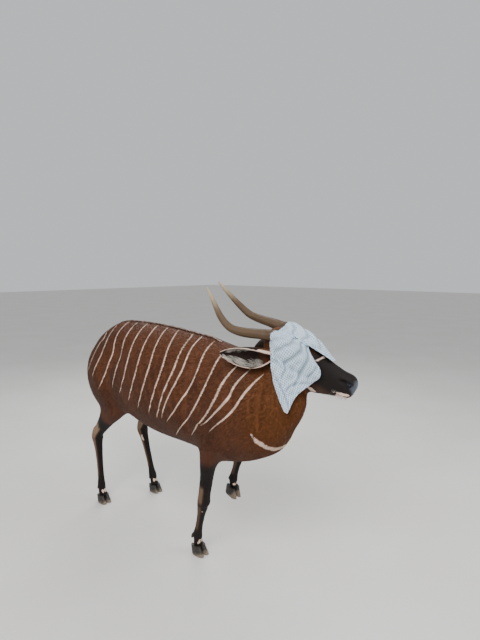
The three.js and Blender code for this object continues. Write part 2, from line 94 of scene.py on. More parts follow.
def to_trunk(points: Array) -> Array:
    """The row frame's metres to trunk millimetres."""
    return points / MM + MIDDLE


def from_head(points: Sequence | Array) -> Array:
    """Head millimetres to trunk millimetres."""
    return FOREHEAD + np.asarray(points, float) @ HEAD_TURN.T


def to_head(points: Array) -> Array:
    """Trunk millimetres to head millimetres."""
    return (points - FOREHEAD) @ HEAD_TURN


def rise(value: Array | float, low: float, high: float) -> Array:
    """A smooth step from 0 at low to 1 at high."""
    share = np.clip((np.asarray(value, float) - low) / (high - low), 0.0, 1.0)
    return share * share * (3.0 - 2.0 * share)


def unit(vectors: Array) -> Array:
    """Each row at length 1."""
    return vectors / np.maximum(np.linalg.norm(vectors, axis=-1, keepdims=True), 1e-9)


def norms(rows: Array) -> Array:
    """The length of each row."""
    return np.linalg.norm(rows, axis=1)


def bell(value: Array, middle: float, width: float) -> Array:
    """A smooth hump of height 1 at middle, which fades over width."""
    return np.exp(-(((value - middle) / width) ** 2))


def both_sides(places: Array, middle: float = 0.0) -> list[Array]:
    """Places as they are, and mirrored from left to right."""
    return [places, places * (1, -1, 1) + (0, 2 * middle, 0)]


def distance_to_line(points: Array, line: Sequence) -> tuple[Array, Array]:
    """How far points lie from a line of straight pieces.

    Args:
        points: places, one a row.
        line: the line's corners.

    Returns:
        The distance of each point, and its share of the way along the line.
    """
    corners = np.asarray(line, float)
    lengths = norms(np.diff(corners, axis=0))
    before = np.concatenate([[0.0], np.cumsum(lengths)])
    best = np.full(len(points), np.inf)
    share = np.zeros(len(points))
    for start, end, length, passed in zip(corners[:-1], corners[1:], lengths, before):
        way = (end - start) / length
        along = np.clip((points - start) @ way, 0.0, length)
        away = norms(points - start - along[:, None] * way)
        nearer = away < best
        best[nearer] = away[nearer]
        share[nearer] = (passed + along[nearer]) / before[-1]
    return best, share


def curve_through(corners: Sequence, count: int) -> Array:
    """Evenly numbered points of a smooth curve through corners.

    Args:
        corners: the points that the curve passes.
        count: how many points come back.

    Returns:
        The points, one a row.
    """
    table = np.asarray(corners, float)
    padded = np.vstack([2 * table[0] - table[1], table, 2 * table[-1] - table[-2]])
    place = np.linspace(0.0, len(table) - 1.0, count)
    low = np.minimum(place.astype(int), len(table) - 2)
    t = (place - low)[:, None]
    a, b, c, d = (padded[low + shift] for shift in range(4))
    return 0.5 * (2 * b + (c - a) * t + (2 * a - 5 * b + 4 * c - d) * t**2 + (3 * b - a - 3 * c + d) * t**3)


def eye_ways(sign: float) -> tuple[Array, Array, Array]:
    """The directions of an eye in the head: where it looks, along its slit, and across that.

    Args:
        sign: 1 for the left eye, -1 for the right.

    Returns:
        Three unit vectors.
    """
    look = unit(np.array([0.30, sign, 0.16]))
    level = np.array([0.88, 0.0, -0.47])
    level = unit(level - look * (level @ look))
    return look, level, np.cross(level, look)


# Handling pieces
def select_only(*pieces: Piece) -> None:
    """Selects these pieces alone and makes the first one active.

    Args:
        pieces: what to select, or nothing.
    """
    bpy.ops.object.select_all(action="DESELECT")
    for piece in pieces:
        piece.select_set(True)
        bpy.context.view_layer.objects.active = pieces[0]


@contextmanager
def editing(piece: Piece) -> Iterator[None]:
    """Edit mode on one piece with all of it selected, and back.

    Args:
        piece: the mesh piece.

    Yields:
        Nothing, while the piece is in edit mode.
    """
    select_only(piece)
    bpy.ops.object.mode_set(mode="EDIT")
    bpy.ops.mesh.select_all(action="SELECT")
    yield
    bpy.ops.object.mode_set(mode="OBJECT")


def renamed(piece: Piece, name: str) -> Piece:
    """The piece and its mesh under another name."""
    piece.name = piece.data.name = name
    return piece


def placed(name: str) -> Piece:
    """The primitive that was added last, with its place in its mesh, under a name."""
    bpy.ops.object.transform_apply(location=True)
    return renamed(bpy.context.object, name)


def solid_copy(node: str) -> Piece:
    """A copy of a solid's mesh with its doubles merged.

    Args:
        node: the solid's name.

    Returns:
        The copy.
    """
    piece = bpy.data.objects.new(f"work_{node}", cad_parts[node].data.copy())
    piece.data.materials.clear()
    bpy.context.scene.collection.objects.link(piece)
    with editing(piece):
        bpy.ops.mesh.remove_doubles(threshold=0.00002)
    return piece


def joined(pieces: list[Piece], name: str) -> Piece:
    """Several pieces made one.

    Args:
        pieces: the pieces.
        name: the name of the one that they become.

    Returns:
        That piece.
    """
    select_only(*pieces)
    bpy.ops.object.join()
    return renamed(pieces[0], name)


def finished_with(piece: Piece, kind: str, **settings: object) -> None:
    """Adds a modifier, sets it and applies it.

    Args:
        piece: the mesh piece.
        kind: the modifier's type.
        settings: its properties.
    """
    select_only(piece)
    modifier = piece.modifiers.new(kind.lower(), kind)
    for key, value in settings.items():
        setattr(modifier, key, value)
    bpy.ops.object.modifier_apply(modifier=modifier.name)


def rounded(piece: Piece, levels: int) -> None:
    """Turns a faceted mesh into a smooth one by subdivision.

    Args:
        piece: the mesh piece.
        levels: how often it is subdivided.
    """
    with editing(piece):
        bpy.ops.mesh.tris_convert_to_quads(face_threshold=math.radians(60), shape_threshold=math.radians(60))
    finished_with(piece, "SUBSURF", levels=levels, render_levels=levels)
    bpy.ops.object.shade_smooth()


def subdivided(piece: Piece, chosen: Array) -> None:
    """Splits the chosen faces of a piece in four.

    Args:
        piece: the mesh piece.
        chosen: one truth value a face.
    """
    select_only(piece)
    mesh = piece.data
    mesh.vertices.foreach_set("select", np.zeros(len(mesh.vertices), bool))
    mesh.edges.foreach_set("select", np.zeros(len(mesh.edges), bool))
    mesh.polygons.foreach_set("select", chosen.astype(bool))
    bpy.ops.object.mode_set(mode="EDIT")
    bpy.ops.mesh.select_mode(type="FACE")
    bpy.ops.mesh.subdivide(number_cuts=1)
    bpy.ops.object.mode_set(mode="OBJECT")


def read(items: object, key: str, width: int = 3, kind: type = float) -> Array:
    """What a mesh keeps for its points, edges, faces or corners.

    Args:
        items: the mesh's list of them.
        key: the name of what is read.
        width: how many numbers each one has.
        kind: the kind of number.

    Returns:
        The numbers, one item a row.
    """
    values = np.empty(len(items) * width, kind)
    items.foreach_get(key, values)
    return values.reshape(-1, width)


def points_of(mesh: Mesh) -> Array:
    """The mesh's points, in the row frame."""
    return read(mesh.vertices, "co")


def moved(mesh: Mesh, points: Array) -> None:
    """Puts the mesh's points at places in the row frame."""
    mesh.vertices.foreach_set("co", points.astype(np.float32).ravel())
    mesh.update()


def note(mesh: Mesh, name: str, values: Array) -> None:
    """Keeps one number a point for the finishes to read."""
    mesh.attributes.new(name, "FLOAT", "POINT").data.foreach_set("value", values.astype(np.float32))


def settled(piece: Piece, material: Material, nodes: Sequence[str] = ()) -> Piece:
    """Gives a finished piece its material and its place on the body, and hides the solids that it stands
    for.

    Args:
        piece: the finished piece.
        material: its material.
        nodes: the solids that it replaces.

    Returns:
        The piece.
    """
    piece.data.materials.clear()
    piece.data.materials.append(material)
    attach(piece, "root")
    if nodes:
        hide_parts(*nodes)
    log.info("%s: %d triangles", piece.name, len(piece.data.loops) - 2 * len(piece.data.polygons))
    return piece


class Form:
    """A mesh's points as arrays, and the moves by which a modeller shapes them."""

    def __init__(self, piece: Piece) -> None:
        """Reads a piece.

        Args:
            piece: the mesh piece, whose points are kept in trunk millimetres.
        """
        self.piece = piece
        self.points = to_trunk(points_of(piece.data))
        self.pairs = read(piece.data.edges, "vertices", 2, np.int32)
        self.count = np.maximum(np.bincount(self.pairs.ravel(), minlength=len(self.points)), 1)

    def write(self) -> None:
        """Puts the points back into the mesh."""
        moved(self.piece.data, to_row(self.points))

    def normals(self) -> Array:
        """The outward direction at each point."""
        self.write()
        return read(self.piece.data.vertex_normals, "vector")

    def mean(self, values: Array) -> Array:
        """The mean of each point's neighbours.

        Args:
            values: one row a point.

        Returns:
            The means, in the same shape.
        """
        table = values.reshape(len(values), -1)
        first, second = self.pairs.T
        size = len(table)
        columns = [
            np.bincount(first, column[second], size) + np.bincount(second, column[first], size)
            for column in table.T
        ]
        return (np.stack(columns, 1) / self.count[:, None]).reshape(values.shape)

    def spread(self, values: Array, passes: int) -> Array:
        """Values made smoother over the surface.

        Args:
            values: one row a point.
            passes: how often they are smoothed.

        Returns:
            The smoother values.
        """
        for _ in range(passes):
            values = 0.5 * values + 0.5 * self.mean(values)
        return values

    def smooth(self, passes: int, share: Array | float = 1.0) -> None:
        """Smooths the surface.

        Args:
            passes: how often.
            share: how much, from 0 to 1.
        """
        strength = np.broadcast_to(np.asarray(share, float) * 0.8, (len(self.points),))[:, None]
        for _ in range(passes):
            self.points = self.points + strength * (self.mean(self.points) - self.points)

    def lift(self, amount: Array | float) -> None:
        """Moves the surface out by an amount, in millimetres."""
        amounts = np.broadcast_to(np.asarray(amount, float), (len(self.points),))
        self.points = self.points + self.normals() * amounts[:, None]


@dataclass(frozen=True)
class Egg:
    """A round region: its middle and half sizes."""

    middle: Point
    halves: Point

    def away(self, places: Array) -> Array:
        """How far places lie from the middle: 1 on the region's border."""
        return norms((places - np.array(self.middle)) / np.array(self.halves))


# The bare nose pad, reaching back over the top of the nose, where the coat finish paints a pale sheen.
NOSE_PAD_AND_SHEEN = Egg((354, 0, -30), (52, 35, 38))


@dataclass(frozen=True)
class Swelling:
    """A soft bulge or hollow: its middle, half sizes, and how far it rises."""

    middle: Point
    halves: Point
    height: float

    def at(self, places: Array) -> Array:
        """How far the surface rises at each place."""
        away = (places - np.array(self.middle)) / np.array(self.halves)
        return self.height * np.exp(-2.2 * (away**2).sum(1))


@dataclass(frozen=True)
class Fold:
    """A groove or a ridge along a line: its corners, width, and height, which is below 0 for a groove."""

    line: tuple
    width: float
    height: float
    ends: float = 5.0

    def at(self, places: Array) -> Array:
        """How far the surface rises at each place.

        Args:
            places: places in the line's own frame.

        Returns:
            Millimetres, a place.
        """
        away, share = distance_to_line(places, self.line)
        taper = np.clip(np.minimum(share, 1.0 - share) * self.ends, 0.0, 1.0)
        return self.height * bell(away, 0, self.width) * (0.15 + 0.85 * taper)


def strokes_at(strokes: Sequence[Swelling | Fold], places: Array, middle: float = 0.0) -> Array:
    """How far a modeller's strokes raise the surface, the same on both sides."""
    return sum(stroke.at(side) for side in both_sides(places, middle) for stroke in strokes)


# Finishes
def tone(colour: str) -> tuple[float, float, float, float]:
    """A colour as the shader takes it.

    Args:
        colour: six hexadecimal digits.

    Returns:
        Red, green, blue and 1.
    """
    parts = [int(colour[start : start + 2], 16) / 255 for start in (0, 2, 4)]
    linear = [part / 12.92 if part <= 0.04045 else ((part + 0.055) / 1.055) ** 2.4 for part in parts]
    return (*linear, 1.0)


def worked_out(operation: str, swapped: bool = False) -> Callable[..., "Wire"]:
    """A method of Wire that adds one Math node.

    Args:
        operation: the node's operation.
        swapped: whether the other value stands first.

    Returns:
        The method.
    """

    def method(wire: "Wire", other: "Wire | float" = 0.0) -> "Wire":
        """One Math node on the wire and another value."""
        inputs = {0: other, 1: wire} if swapped else {0: wire, 1: other}
        return wire.recipe.add("ShaderNodeMath", {"operation": operation}, inputs)

    return method


@dataclass
class Wire:
    """What comes out of one socket of a finish. Sums on it add the nodes that work them out."""

    recipe: "Recipe"
    socket: bpy.types.NodeSocket

    __add__, __radd__ = worked_out("ADD"), worked_out("ADD", swapped=True)
    __sub__, __rsub__ = worked_out("SUBTRACT"), worked_out("SUBTRACT", swapped=True)
    __mul__, __rmul__ = worked_out("MULTIPLY"), worked_out("MULTIPLY", swapped=True)
    __truediv__ = worked_out("DIVIDE")
    size, wave, floor, most = (worked_out(word) for word in ("ABSOLUTE", "SINE", "FLOOR", "MAXIMUM"))

    def rises(self, low: float, high: float) -> "Wire":
        """A smooth step from 0 at low to 1 at high."""
        settings = {"interpolation_type": "SMOOTHSTEP"}
        return self.recipe.add("ShaderNodeMapRange", settings, {0: self, 1: low, 2: high, 3: 0.0, 4: 1.0})


class Recipe:
    """One material: a principled shader, and the nodes that feed it."""

    def __init__(self, name: str, **constants: float | tuple) -> None:
        """Starts a material.

        Args:
            name: the material's name.
            constants: settings of the shader that are the same all over, with _ for a space.
        """
        self.material = bpy.data.materials.new(name)
        self.material.use_nodes = True
        self.tree = self.material.node_tree
        self.shader = self.tree.nodes["Principled BSDF"]
        for key, value in constants.items():
            self.shader.inputs[key.replace("_", " ")].default_value = value

    def add(self, kind: str, settings: dict, inputs: dict, output: int | str = 0) -> Wire:
        """Adds a node.

        Args:
            kind: the node's type.
            settings: its properties, set first.
            inputs: values or wires for its sockets, by number or name.
            output: which of its outputs comes back.

        Returns:
            The wire from that output.
        """
        node = self.tree.nodes.new(kind)
        for key, value in settings.items():
            setattr(node, key, value)
        for key, value in inputs.items():
            if isinstance(value, Wire):
                self.tree.links.new(value.socket, node.inputs[key])
            else:
                node.inputs[key].default_value = tone(value) if isinstance(value, str) else value
        return Wire(self, node.outputs[output])

    def feed(self, **wires: Wire) -> Material:
        """Links wires to the shader.

        Args:
            wires: what feeds each of its sockets, with _ for a space.

        Returns:
            The finished material.
        """
        for key, wire in wires.items():
            self.tree.links.new(wire.socket, self.shader.inputs[key.replace("_", " ")])
        return self.material

    def kept(self, name: str) -> Wire:
        """A number that the mesh keeps at its points."""
        return self.add("ShaderNodeAttribute", {"attribute_name": name}, {}, "Fac")

    def noise(self, where: Wire, scale: float, detail: float, rough: float) -> Wire:
        """Cloudy noise from 0 to 1."""
        inputs = {"Vector": where, "Scale": scale, "Detail": detail, "Roughness": rough}
        return self.add("ShaderNodeTexNoise", {}, inputs)

    def clouds(self, scale: float, detail: float = 3.0, rough: float = 0.6) -> Wire:
        """Noise at the place on the piece."""
        spot = self.add("ShaderNodeTexCoord", {}, {}, "Object")
        return self.noise(spot, scale, detail, rough)

    def fibres(self, stretch: Point) -> Wire:
        """Noise that is stretched into fibres, finer where a number is higher."""
        inputs = {"Vector": self.add("ShaderNodeTexCoord", {}, {}, "Object"), "Scale": stretch}
        return self.noise(self.add("ShaderNodeMapping", {}, inputs), 1.0, 3.0, 0.6)

    def mixed(self, share: Wire | float, first: Wire | str, second: Wire | str) -> Wire:
        """One colour going over into another."""
        return self.add("ShaderNodeMix", {"data_type": "RGBA"}, {0: share, 6: first, 7: second}, 2)

    def shaded(self, colour: Wire, strength: Wire) -> Wire:
        """A colour times a number."""
        settings = {"data_type": "RGBA", "blend_type": "MULTIPLY"}
        return self.add("ShaderNodeMix", settings, {0: 1.0, 6: colour, 7: strength}, 2)

    def bumps(self, height: Wire, depth: float) -> Wire:
        """A surface normal from a height, of which 1 is a depth in metres."""
        return self.add("ShaderNodeBump", {}, {"Height": height, "Distance": depth, "Strength": 1.0})


class Hair(Enum):
    """Where a coat finish goes: on the skin itself, or on tufts that stand over it."""

    SKIN = "skin"
    TUFT = "tuft"


# What the skin and the tufts keep for the coat's finish
MARKS = ("cream", "band", "bandwidth", "warm", "dark", "tan", "upright", "saddle", "hollow")


@dataclass(frozen=True)
class CoatFinish:
    """Short, glossy hair in chestnut, with darker, paler and cream marks that the mesh keeps."""

    chestnut: str = "5c341c"
    mahogany: str = "482612"
    orange: str = "5e3411"
    tan: str = "8f745c"
    black: str = "0d0908"
    cream: str = "e2c6b4"
    # the bare nose pad: dark skin painted a pale blue-grey, a painted reflection of the sky on its wet
    # surface
    bare: str = "4c525b"
    # painted shade: the near-black inside of the nostrils
    inside: str = "050404"
    roughness: float = 0.5

    def material(self, kind: Hair) -> Material:
        """The material for the skin or the tufts.

        Args:
            kind: which of the two.

        Returns:
            The material.
        """
        recipe = Recipe(f"coat_{kind.value}", Specular_IOR_Level=0.25)
        kept = {name: recipe.kept(name) for name in MARKS}
        wide, ragged = recipe.clouds(5.0), recipe.clouds(70.0)
        leg = kept["upright"]
        streaks = recipe.fibres((60, 420, 420)) * (1.0 - leg) + recipe.fibres((480, 480, 70)) * leg
        deep = (wide - kept["saddle"] * 0.5 + 0.1).rises(0.25, 0.75)
        body = recipe.mixed(deep, self.mahogany, self.chestnut)
        for name, colour in (("warm", self.orange), ("tan", self.tan), ("dark", self.black)):
            body = recipe.mixed(kept[name], body, colour)
        edge = kept["cream"] + (streaks - 0.5) * 3.0 + (ragged - 0.5) * 11.0
        band, width = kept["band"], kept["bandwidth"]
        off = (band - (band + 0.5).floor()).size() / width
        stripe = (1.0 - (off + (streaks - 0.5) * 0.7).rises(0.75, 1.25)) * width.rises(0.002, 0.012)
        mark = (1.0 - edge.rises(-1.6, 1.6)).most(stripe) * (1.0 - kept["hollow"])
        # painted shade: the nostrils' insides are painted near black
        body = recipe.mixed(kept["hollow"], body, self.inside)
        body = recipe.mixed(mark, body, self.cream)
        strength = 0.72 + streaks * 0.56
        if kind is Hair.TUFT:
            strength = strength * (0.8 + recipe.kept("tip") * 0.26) * recipe.kept("shade")
            colour = recipe.shaded(body, strength)
            return recipe.feed(Base_Color=colour, Roughness=self.roughness + 0.2 * wide)
        # painted reflection: the bare nose pad takes the pale blue-grey colour; its lower roughness is real
        bare = recipe.kept("bare") * (1.0 - kept["hollow"])
        body = recipe.mixed(bare, recipe.shaded(body, strength), self.bare)
        grain = recipe.clouds(320.0, 2.0)
        rough = (self.roughness + 0.1 + 0.15 * wide) * (1.0 - bare) + (0.26 + 0.2 * grain) * bare
        height = streaks * (1.0 - bare) + grain * bare
        return recipe.feed(Base_Color=body, Roughness=rough, Normal=recipe.bumps(height, 0.0012))


@dataclass(frozen=True)
class LockFinish:
    """Longer hair in separate locks: one colour at the root and one at the tip."""

    name: str
    root: str
    tip: str
    roughness: float = 0.55

    def material(self) -> Material:
        """The material of the locks.

        Returns:
            The material.
        """
        recipe = Recipe(self.name, Specular_IOR_Level=0.35, Sheen_Weight=0.05)
        streaks = recipe.fibres((300, 300, 60))
        along = (recipe.kept("tip") + (streaks - 0.5) * 0.5).rises(0.1, 0.95)
        colour = recipe.mixed(along, self.root, self.tip)
        colour = recipe.shaded(colour, (0.75 + streaks * 0.5) * recipe.kept("shade"))
        return recipe.feed(Base_Color=colour, Roughness=self.roughness + streaks * 0.2)


@dataclass(frozen=True)
class HornFinish:
    """Grey-brown horn, darker at its root and pale at its tip, with fine fibres along it."""

    root: str = "2a1c12"
    shaft: str = "554331"
    tip: str = "a8977c"

    def material(self) -> Material:
        """The material of a horn.

        Returns:
            The material.
        """
        recipe = Recipe("horn", Specular_IOR_Level=0.28)
        along, around = recipe.kept("along"), recipe.kept("around")
        ring = {0: along * 10.0, 1: around.wave() * 5.0, 2: (around + math.pi / 2).wave() * 5.0}
        where = recipe.add("ShaderNodeCombineXYZ", {}, ring)
        fibres, lines = recipe.noise(where, 4.0, 5.0, 0.65), recipe.noise(where, 11.0, 4.0, 0.7)
        patches = recipe.clouds(24.0, 4.0)
        colour = recipe.mixed((along + (patches - 0.5) * 0.3).rises(0.0, 0.3), self.root, self.shaft)
        colour = recipe.mixed((along + (fibres - 0.5) * 0.2).rises(0.72, 0.97), colour, self.tip)
        colour = recipe.shaded(colour, 0.3 + fibres * 0.6 + patches * 0.4 + lines * 0.5)
        normal = recipe.bumps(fibres + lines * 0.6, 0.0018)
        return recipe.feed(Base_Color=colour, Roughness=0.42 + 0.3 * patches, Normal=normal)


@dataclass(frozen=True)
class HoofFinish:
    """Dark hoof horn with growth rings, dusty towards the ground."""

    horn: str = "2c2723"
    dust: str = "7a6c5c"

    def material(self) -> Material:
        """The material of the hooves.

        Returns:
            The material.
        """
        recipe = Recipe("hoof", Specular_IOR_Level=0.4)
        height = recipe.kept("height")
        clouds, fibres = recipe.clouds(60.0, 4.0), recipe.fibres((500, 500, 40))
        rings = (height * 0.62 + clouds * 7.0).wave() * 0.5 + 0.5
        worn = (clouds - height * 0.022 + 0.25).rises(0.35, 0.85)
        colour = recipe.mixed(worn, self.horn, self.dust)
        colour = recipe.shaded(colour, 0.86 + rings * 0.12 + (fibres - 0.5) * 0.5)
        normal = recipe.bumps(rings * 0.4 + fibres * 0.6, 0.0007)
        return recipe.feed(Base_Color=colour, Roughness=0.38 + 0.3 * clouds, Normal=normal)


@dataclass(frozen=True)
class EyeFinish:
    """A dark wet eye with a level pupil."""

    white: str = "6a5a4c"
    iris: str = "2a1608"
    rim: str = "4a2a12"
    pupil: str = "020202"

    def material(self) -> Material:
        """The material of an eye.

        Returns:
            The material.
        """
        recipe = Recipe("eye", Roughness=0.06, Coat_Weight=1.0, Coat_Roughness=0.02)
        across, above = recipe.kept("across"), recipe.kept("above")
        spread = across * across + above * above
        iris = recipe.mixed(spread.rises(20.0, 160.0), self.iris, self.rim)
        iris = recipe.shaded(iris, 0.7 + recipe.clouds(900.0, 3.0, 0.7) * 0.6)
        colour = recipe.mixed(spread.rises(165.0, 215.0), iris, self.white)
        slit = (across * across * 0.018 + above * above * 0.09).rises(0.9, 1.15)
        return recipe.feed(Base_Color=recipe.mixed(slit, self.pupil, colour))


@dataclass(frozen=True)
class ClothFinish:
    """Light cotton in a fine blue and white check, with the weave's threads raised."""

    white: str = "e2edf4"
    blue: str = "4c86ae"
    check: float = 11.0  # one blue and one white band together
    thread: float = 1.1

    def material(self) -> Material:
        """The material of the cloth.

        Returns:
            The material.
        """
        recipe = Recipe("cloth", Specular_IOR_Level=0.2, Sheen_Weight=0.15, Sheen_Roughness=0.5)
        flat = recipe.add("ShaderNodeUVMap", {"uv_map": "Flat"}, {})
        parts = [recipe.add("ShaderNodeSeparateXYZ", {}, {0: flat}, output) for output in (0, 1)]
        clouds, fine = recipe.clouds(14.0, 4.0), recipe.clouds(700.0, 2.0)
        checks, threads = (
            [(part * (2 * math.pi / (step * MM))).wave() for part in parts]
            for step in (self.check, self.thread)
        )
        bands = [(wave + (fine - 0.5) * 0.9).rises(-0.45, 0.45) for wave in checks]
        both, either = bands[0] * bands[1], (bands[0] + bands[1]) * 0.5
        colour = recipe.mixed(either * 0.55 + both * 0.45, self.white, self.blue)
        weave = threads[0] * threads[1] * 0.5 + 0.5
        hem = recipe.kept("hem")
        seam = 1.0 - (hem - 7.5).size().rises(0.3, 1.1)
        # painted shade in the creases of the folds, and painted light on their ridges
        depth = (recipe.kept("fold_shade") + (clouds - 0.5) * 0.2).rises(-1.0, 0.35)
        light = 0.84 + weave * 0.12 + clouds * 0.12 - seam * 0.16
        colour = recipe.shaded(colour, light * (0.66 + 0.36 * depth))
        height = weave * 0.5 + fine * 0.5 - seam * 1.2 + (1.0 - hem.rises(7.0, 8.0)) * 0.8
        normal = recipe.bumps(height, 0.0004)
        return recipe.feed(Base_Color=colour, Roughness=0.8 + 0.1 * clouds, Normal=normal)


@dataclass(frozen=True)
class FloorFinish:
    """A plain pale studio floor."""

    colour: str = "d8d6d2"
    lighter: str = "dddbd8"

    def material(self) -> Material:
        """The material of the floor.

        Returns:
            The material.
        """
        recipe = Recipe("floor", Specular_IOR_Level=0.2)
        clouds = recipe.clouds(1.3, 4.0, 0.5)
        colour = recipe.mixed(clouds.rises(0.3, 0.7), self.colour, self.lighter)
        return recipe.feed(Base_Color=colour, Roughness=0.75 + clouds * 0.15)


# Legs
@dataclass(frozen=True)
class Leg:
    """One leg's joints: shoulder or hip, elbow or stifle, knee or hock, fetlock and top of the hoof."""

    end: str
    hand: str
    joints: tuple

    @property
    def node(self) -> str:
        """The leg's solid."""
        return f"{self.end}leg_{self.hand}"

    @property
    def hoof(self) -> str:
        """The name of its hoof."""
        return f"hoof_{self.end}_{self.hand}"

    @property
    def fore(self) -> bool:
        """Whether it is a foreleg."""
        return self.end == "fore"

    def along(self, points: Array) -> tuple[Array, Array, Array]:
        """Where points lie along the leg.

        Args:
            points: places in trunk millimetres.

        Returns:
            Joint number and share, how far in front of the bone, and how far to its outer side.
        """
        joints = np.array(self.joints, float)
        best = np.full(len(points), np.inf)
        place, front, outer = np.zeros((3, len(points)))
        for index, (start, end) in enumerate(zip(joints[:-1], joints[1:])):
            length = np.linalg.norm(end - start)
            way = (end - start) / length
            step = (points - start) @ way
            held = np.clip(step, 0.0 if index else -200.0, length if index < 3 else length + 60.0)
            off = points - start - held[:, None] * way
            away = norms(off)
            nearer = away < best
            best[nearer] = away[nearer]
            place[nearer] = index + np.clip(held[nearer] / length, 0.0, 1.2)
            front[nearer] = (off @ unit(np.array([1.0, 0.0, 0.0]) - way[0] * way))[nearer]
            outer[nearer] = SIDES[self.hand] * off[nearer, 1]
        return place, front, outer


LEGS = (
    Leg(
        "fore",
        "right",
        ((672, -134, 800), (556, -146, 620), (498, -137, 322), (436, -121, 106), (434, -117, 48)),
    ),
    Leg(
        "fore",
        "left",
        ((590, 108, 870), (385, 132, 730), (503, 146, 506), (450, 150, 340), (448, 150, 294)),
    ),
    Leg(
        "hind",
        "right",
        ((-345, -114, 930), (-265, -156, 700), (-505, -146, 452), (-478, -142, 106), (-468, -142, 48)),
    ),
    Leg(
        "hind",
        "left",
        ((-345, 90, 930), (-230, 146, 702), (-440, 168, 438), (-350, 184, 108), (-338, 186, 48)),
    ),
)


# Markings
@dataclass
class Markings:
    """The cream stripes, bars and patches, and where the coat is darker, warmer or tan."""

    axis_x: tuple = (-572, -420, -280, -80, 120, 300, 430, 560, 680, 790, 875, 936)
    axis_z: tuple = (958, 952, 946, 924, 908, 895, 885, 868, 836, 792, 754, 726)
    girth: float = 4.8  # millimetres of skin to a degree round the trunk
    stripes: tuple = (
        ((845, 9), (799, 36), (761, 61), (700, 92), (609, 121)),
        ((782, 14), (745, 38), (721, 58), (680, 80), (609, 105), (560, 116)),
        ((725, 12), (692, 43), (664, 69), (608, 96), (539, 119), (457, 140)),
        ((600, 6), (606, 22), (604, 49), (553, 82), (467, 116), (309, 150)),
        ((490, 4), (512, 32), (509, 52), (478, 72), (396, 106), (292, 131)),
        ((384, 2), (403, 12), (426, 47), (399, 71), (346, 95), (270, 126)),
        ((318, 2), (357, 19), (371, 51), (350, 71), (276, 110), (220, 130)),
        ((196, 2), (255, 24), (288, 53), (274, 74), (226, 102), (160, 128)),
        ((104, 2), (160, 26), (190, 55), (176, 78), (128, 104), (66, 126)),
        ((10, 2), (66, 26), (92, 56), (80, 80), (34, 104), (-20, 122)),
        ((-86, 2), (-36, 27), (-10, 56), (-20, 82), (-66, 104), (-112, 118)),
        ((-184, 2), (-134, 27), (-110, 56), (-122, 84), (-172, 108), (-214, 120)),
        ((-276, 2), (-232, 26), (-212, 54), (-228, 84), (-282, 110), (-330, 124)),
        ((-362, 3), (-322, 26), (-306, 54), (-330, 84), (-390, 112)),
        ((-446, 4), (-408, 28), (-398, 56), (-424, 86), (-470, 108)),
    )
    stripe_half: float = 4.6
    nostril: tuple = (
        (286, -39, -31), (304, -37, -24), (320, -36, -19), (333, -34, -18), (341, -30, -25), (337, -33, -35),
    )
    crescent: tuple = (
        (838, -148, 773), (855, -131, 741), (871, -114, 724),
        (888, -89, 705), (901, -60, 692), (908, -21, 685),
    )
    bar: tuple = ((132, -56, -46), (155, -35, -23), (168, -6, -3))
    lip: tuple = ((288, -44, -112), (308, -43, -98), (330, -42, -83), (356, -38, -67), (380, 0, -62))
    patches: tuple = (
        (Egg((168, -60, -118), (20, 30, 13)), 12.0),
        (Egg((216, -46, -162), (25, 34, 12)), 12.0),
        (Egg((344, 0, -102), (42, 42, 24)), 18.0),
    )

    def round_trunk(self, points: Array) -> Array:
        """Degrees round the trunk from the back line, the same on both sides."""
        over = points[:, 2] - np.interp(points[:, 0], self.axis_x, self.axis_z)
        return np.degrees(np.arctan2(np.abs(points[:, 1] - MIDPLANE), over))

    def bands(self, points: Array, parts: Shares) -> Shares:
        """Where points lie among the stripes.

        Args:
            points: places in trunk millimetres.
            parts: how much each point belongs to each solid.

        Returns:
            "band", which is a whole number on each stripe's middle line, and "bandwidth", half its width
            on the same scale.
        """
        turn = self.round_trunk(points)
        left = points[:, 1] > MIDPLANE
        lines, starts, ends = [], [], []
        for number, stripe in enumerate(self.stripes):
            places = curve_through([(x, angle * self.girth) for x, angle in stripe], 40)
            shift = np.where(left, 9.0 * math.sin(2.3 * number), 0.0)
            lines.append(np.interp(turn * self.girth, places[:, 1], places[:, 0]) + shift)
            starts.append(stripe[0][1])
            ends.append(stripe[-1][1])
        lines = np.array(lines)
        for number in range(1, len(lines)):
            lines[number] = np.minimum(lines[number], lines[number - 1] - 16.0)
        gaps = -np.diff(lines, axis=0)
        gaps = np.vstack([gaps[:1], gaps, gaps[-1:]])
        ahead = (lines > points[:, 0]).sum(0)
        low = np.clip(ahead - 1, 0, len(lines) - 1)
        column = np.arange(len(points))
        gap = np.where(ahead == 0, 100.0, gaps[np.minimum(ahead, len(gaps) - 1), column])
        band = low + (lines[low, column] - points[:, 0]) / gap
        band = np.clip(band, -0.5, len(lines) - 0.5)
        near = np.clip(np.rint(band).astype(int), 0, len(lines) - 1)
        start, end = np.array(starts)[near], np.array(ends)[near]
        mask = rise(turn, start - 3, start + 9) * (1 - rise(turn, end - 14, end + 2))
        body = np.clip(parts["torso"] + parts["neck"] + sum(parts[leg.node] for leg in LEGS), 0, 1)
        down = np.clip((turn - start) / (end - start), 0, 1)
        half = self.stripe_half * (0.62 + 0.38 * np.sin(np.pi * down))
        width = half * mask * rise(body, 0.5, 0.9) / gap
        return {"band": band, "bandwidth": np.maximum(width, 0.0005)}

    def cream(self, points: Array, parts: Shares) -> Array:
        """How far points lie outside the cream patches.

        Args:
            points: places in trunk millimetres.
            parts: how much each point belongs to each solid.

        Returns:
            Millimetres, below 0 inside a patch.
        """
        line = curve_through(self.crescent, 20)
        found = np.full(len(points), 60.0)
        for places in both_sides(points, MIDPLANE):
            away, share = distance_to_line(places, line)
            found = np.minimum(found, away - 11.5 * (0.35 + 0.65 * rise(share, 0.0, 0.3)))
        found = np.minimum(found, self.face_marks(points) + 60 * (1 - parts["head"]))
        return np.minimum(found, self.leg_marks(points, parts))

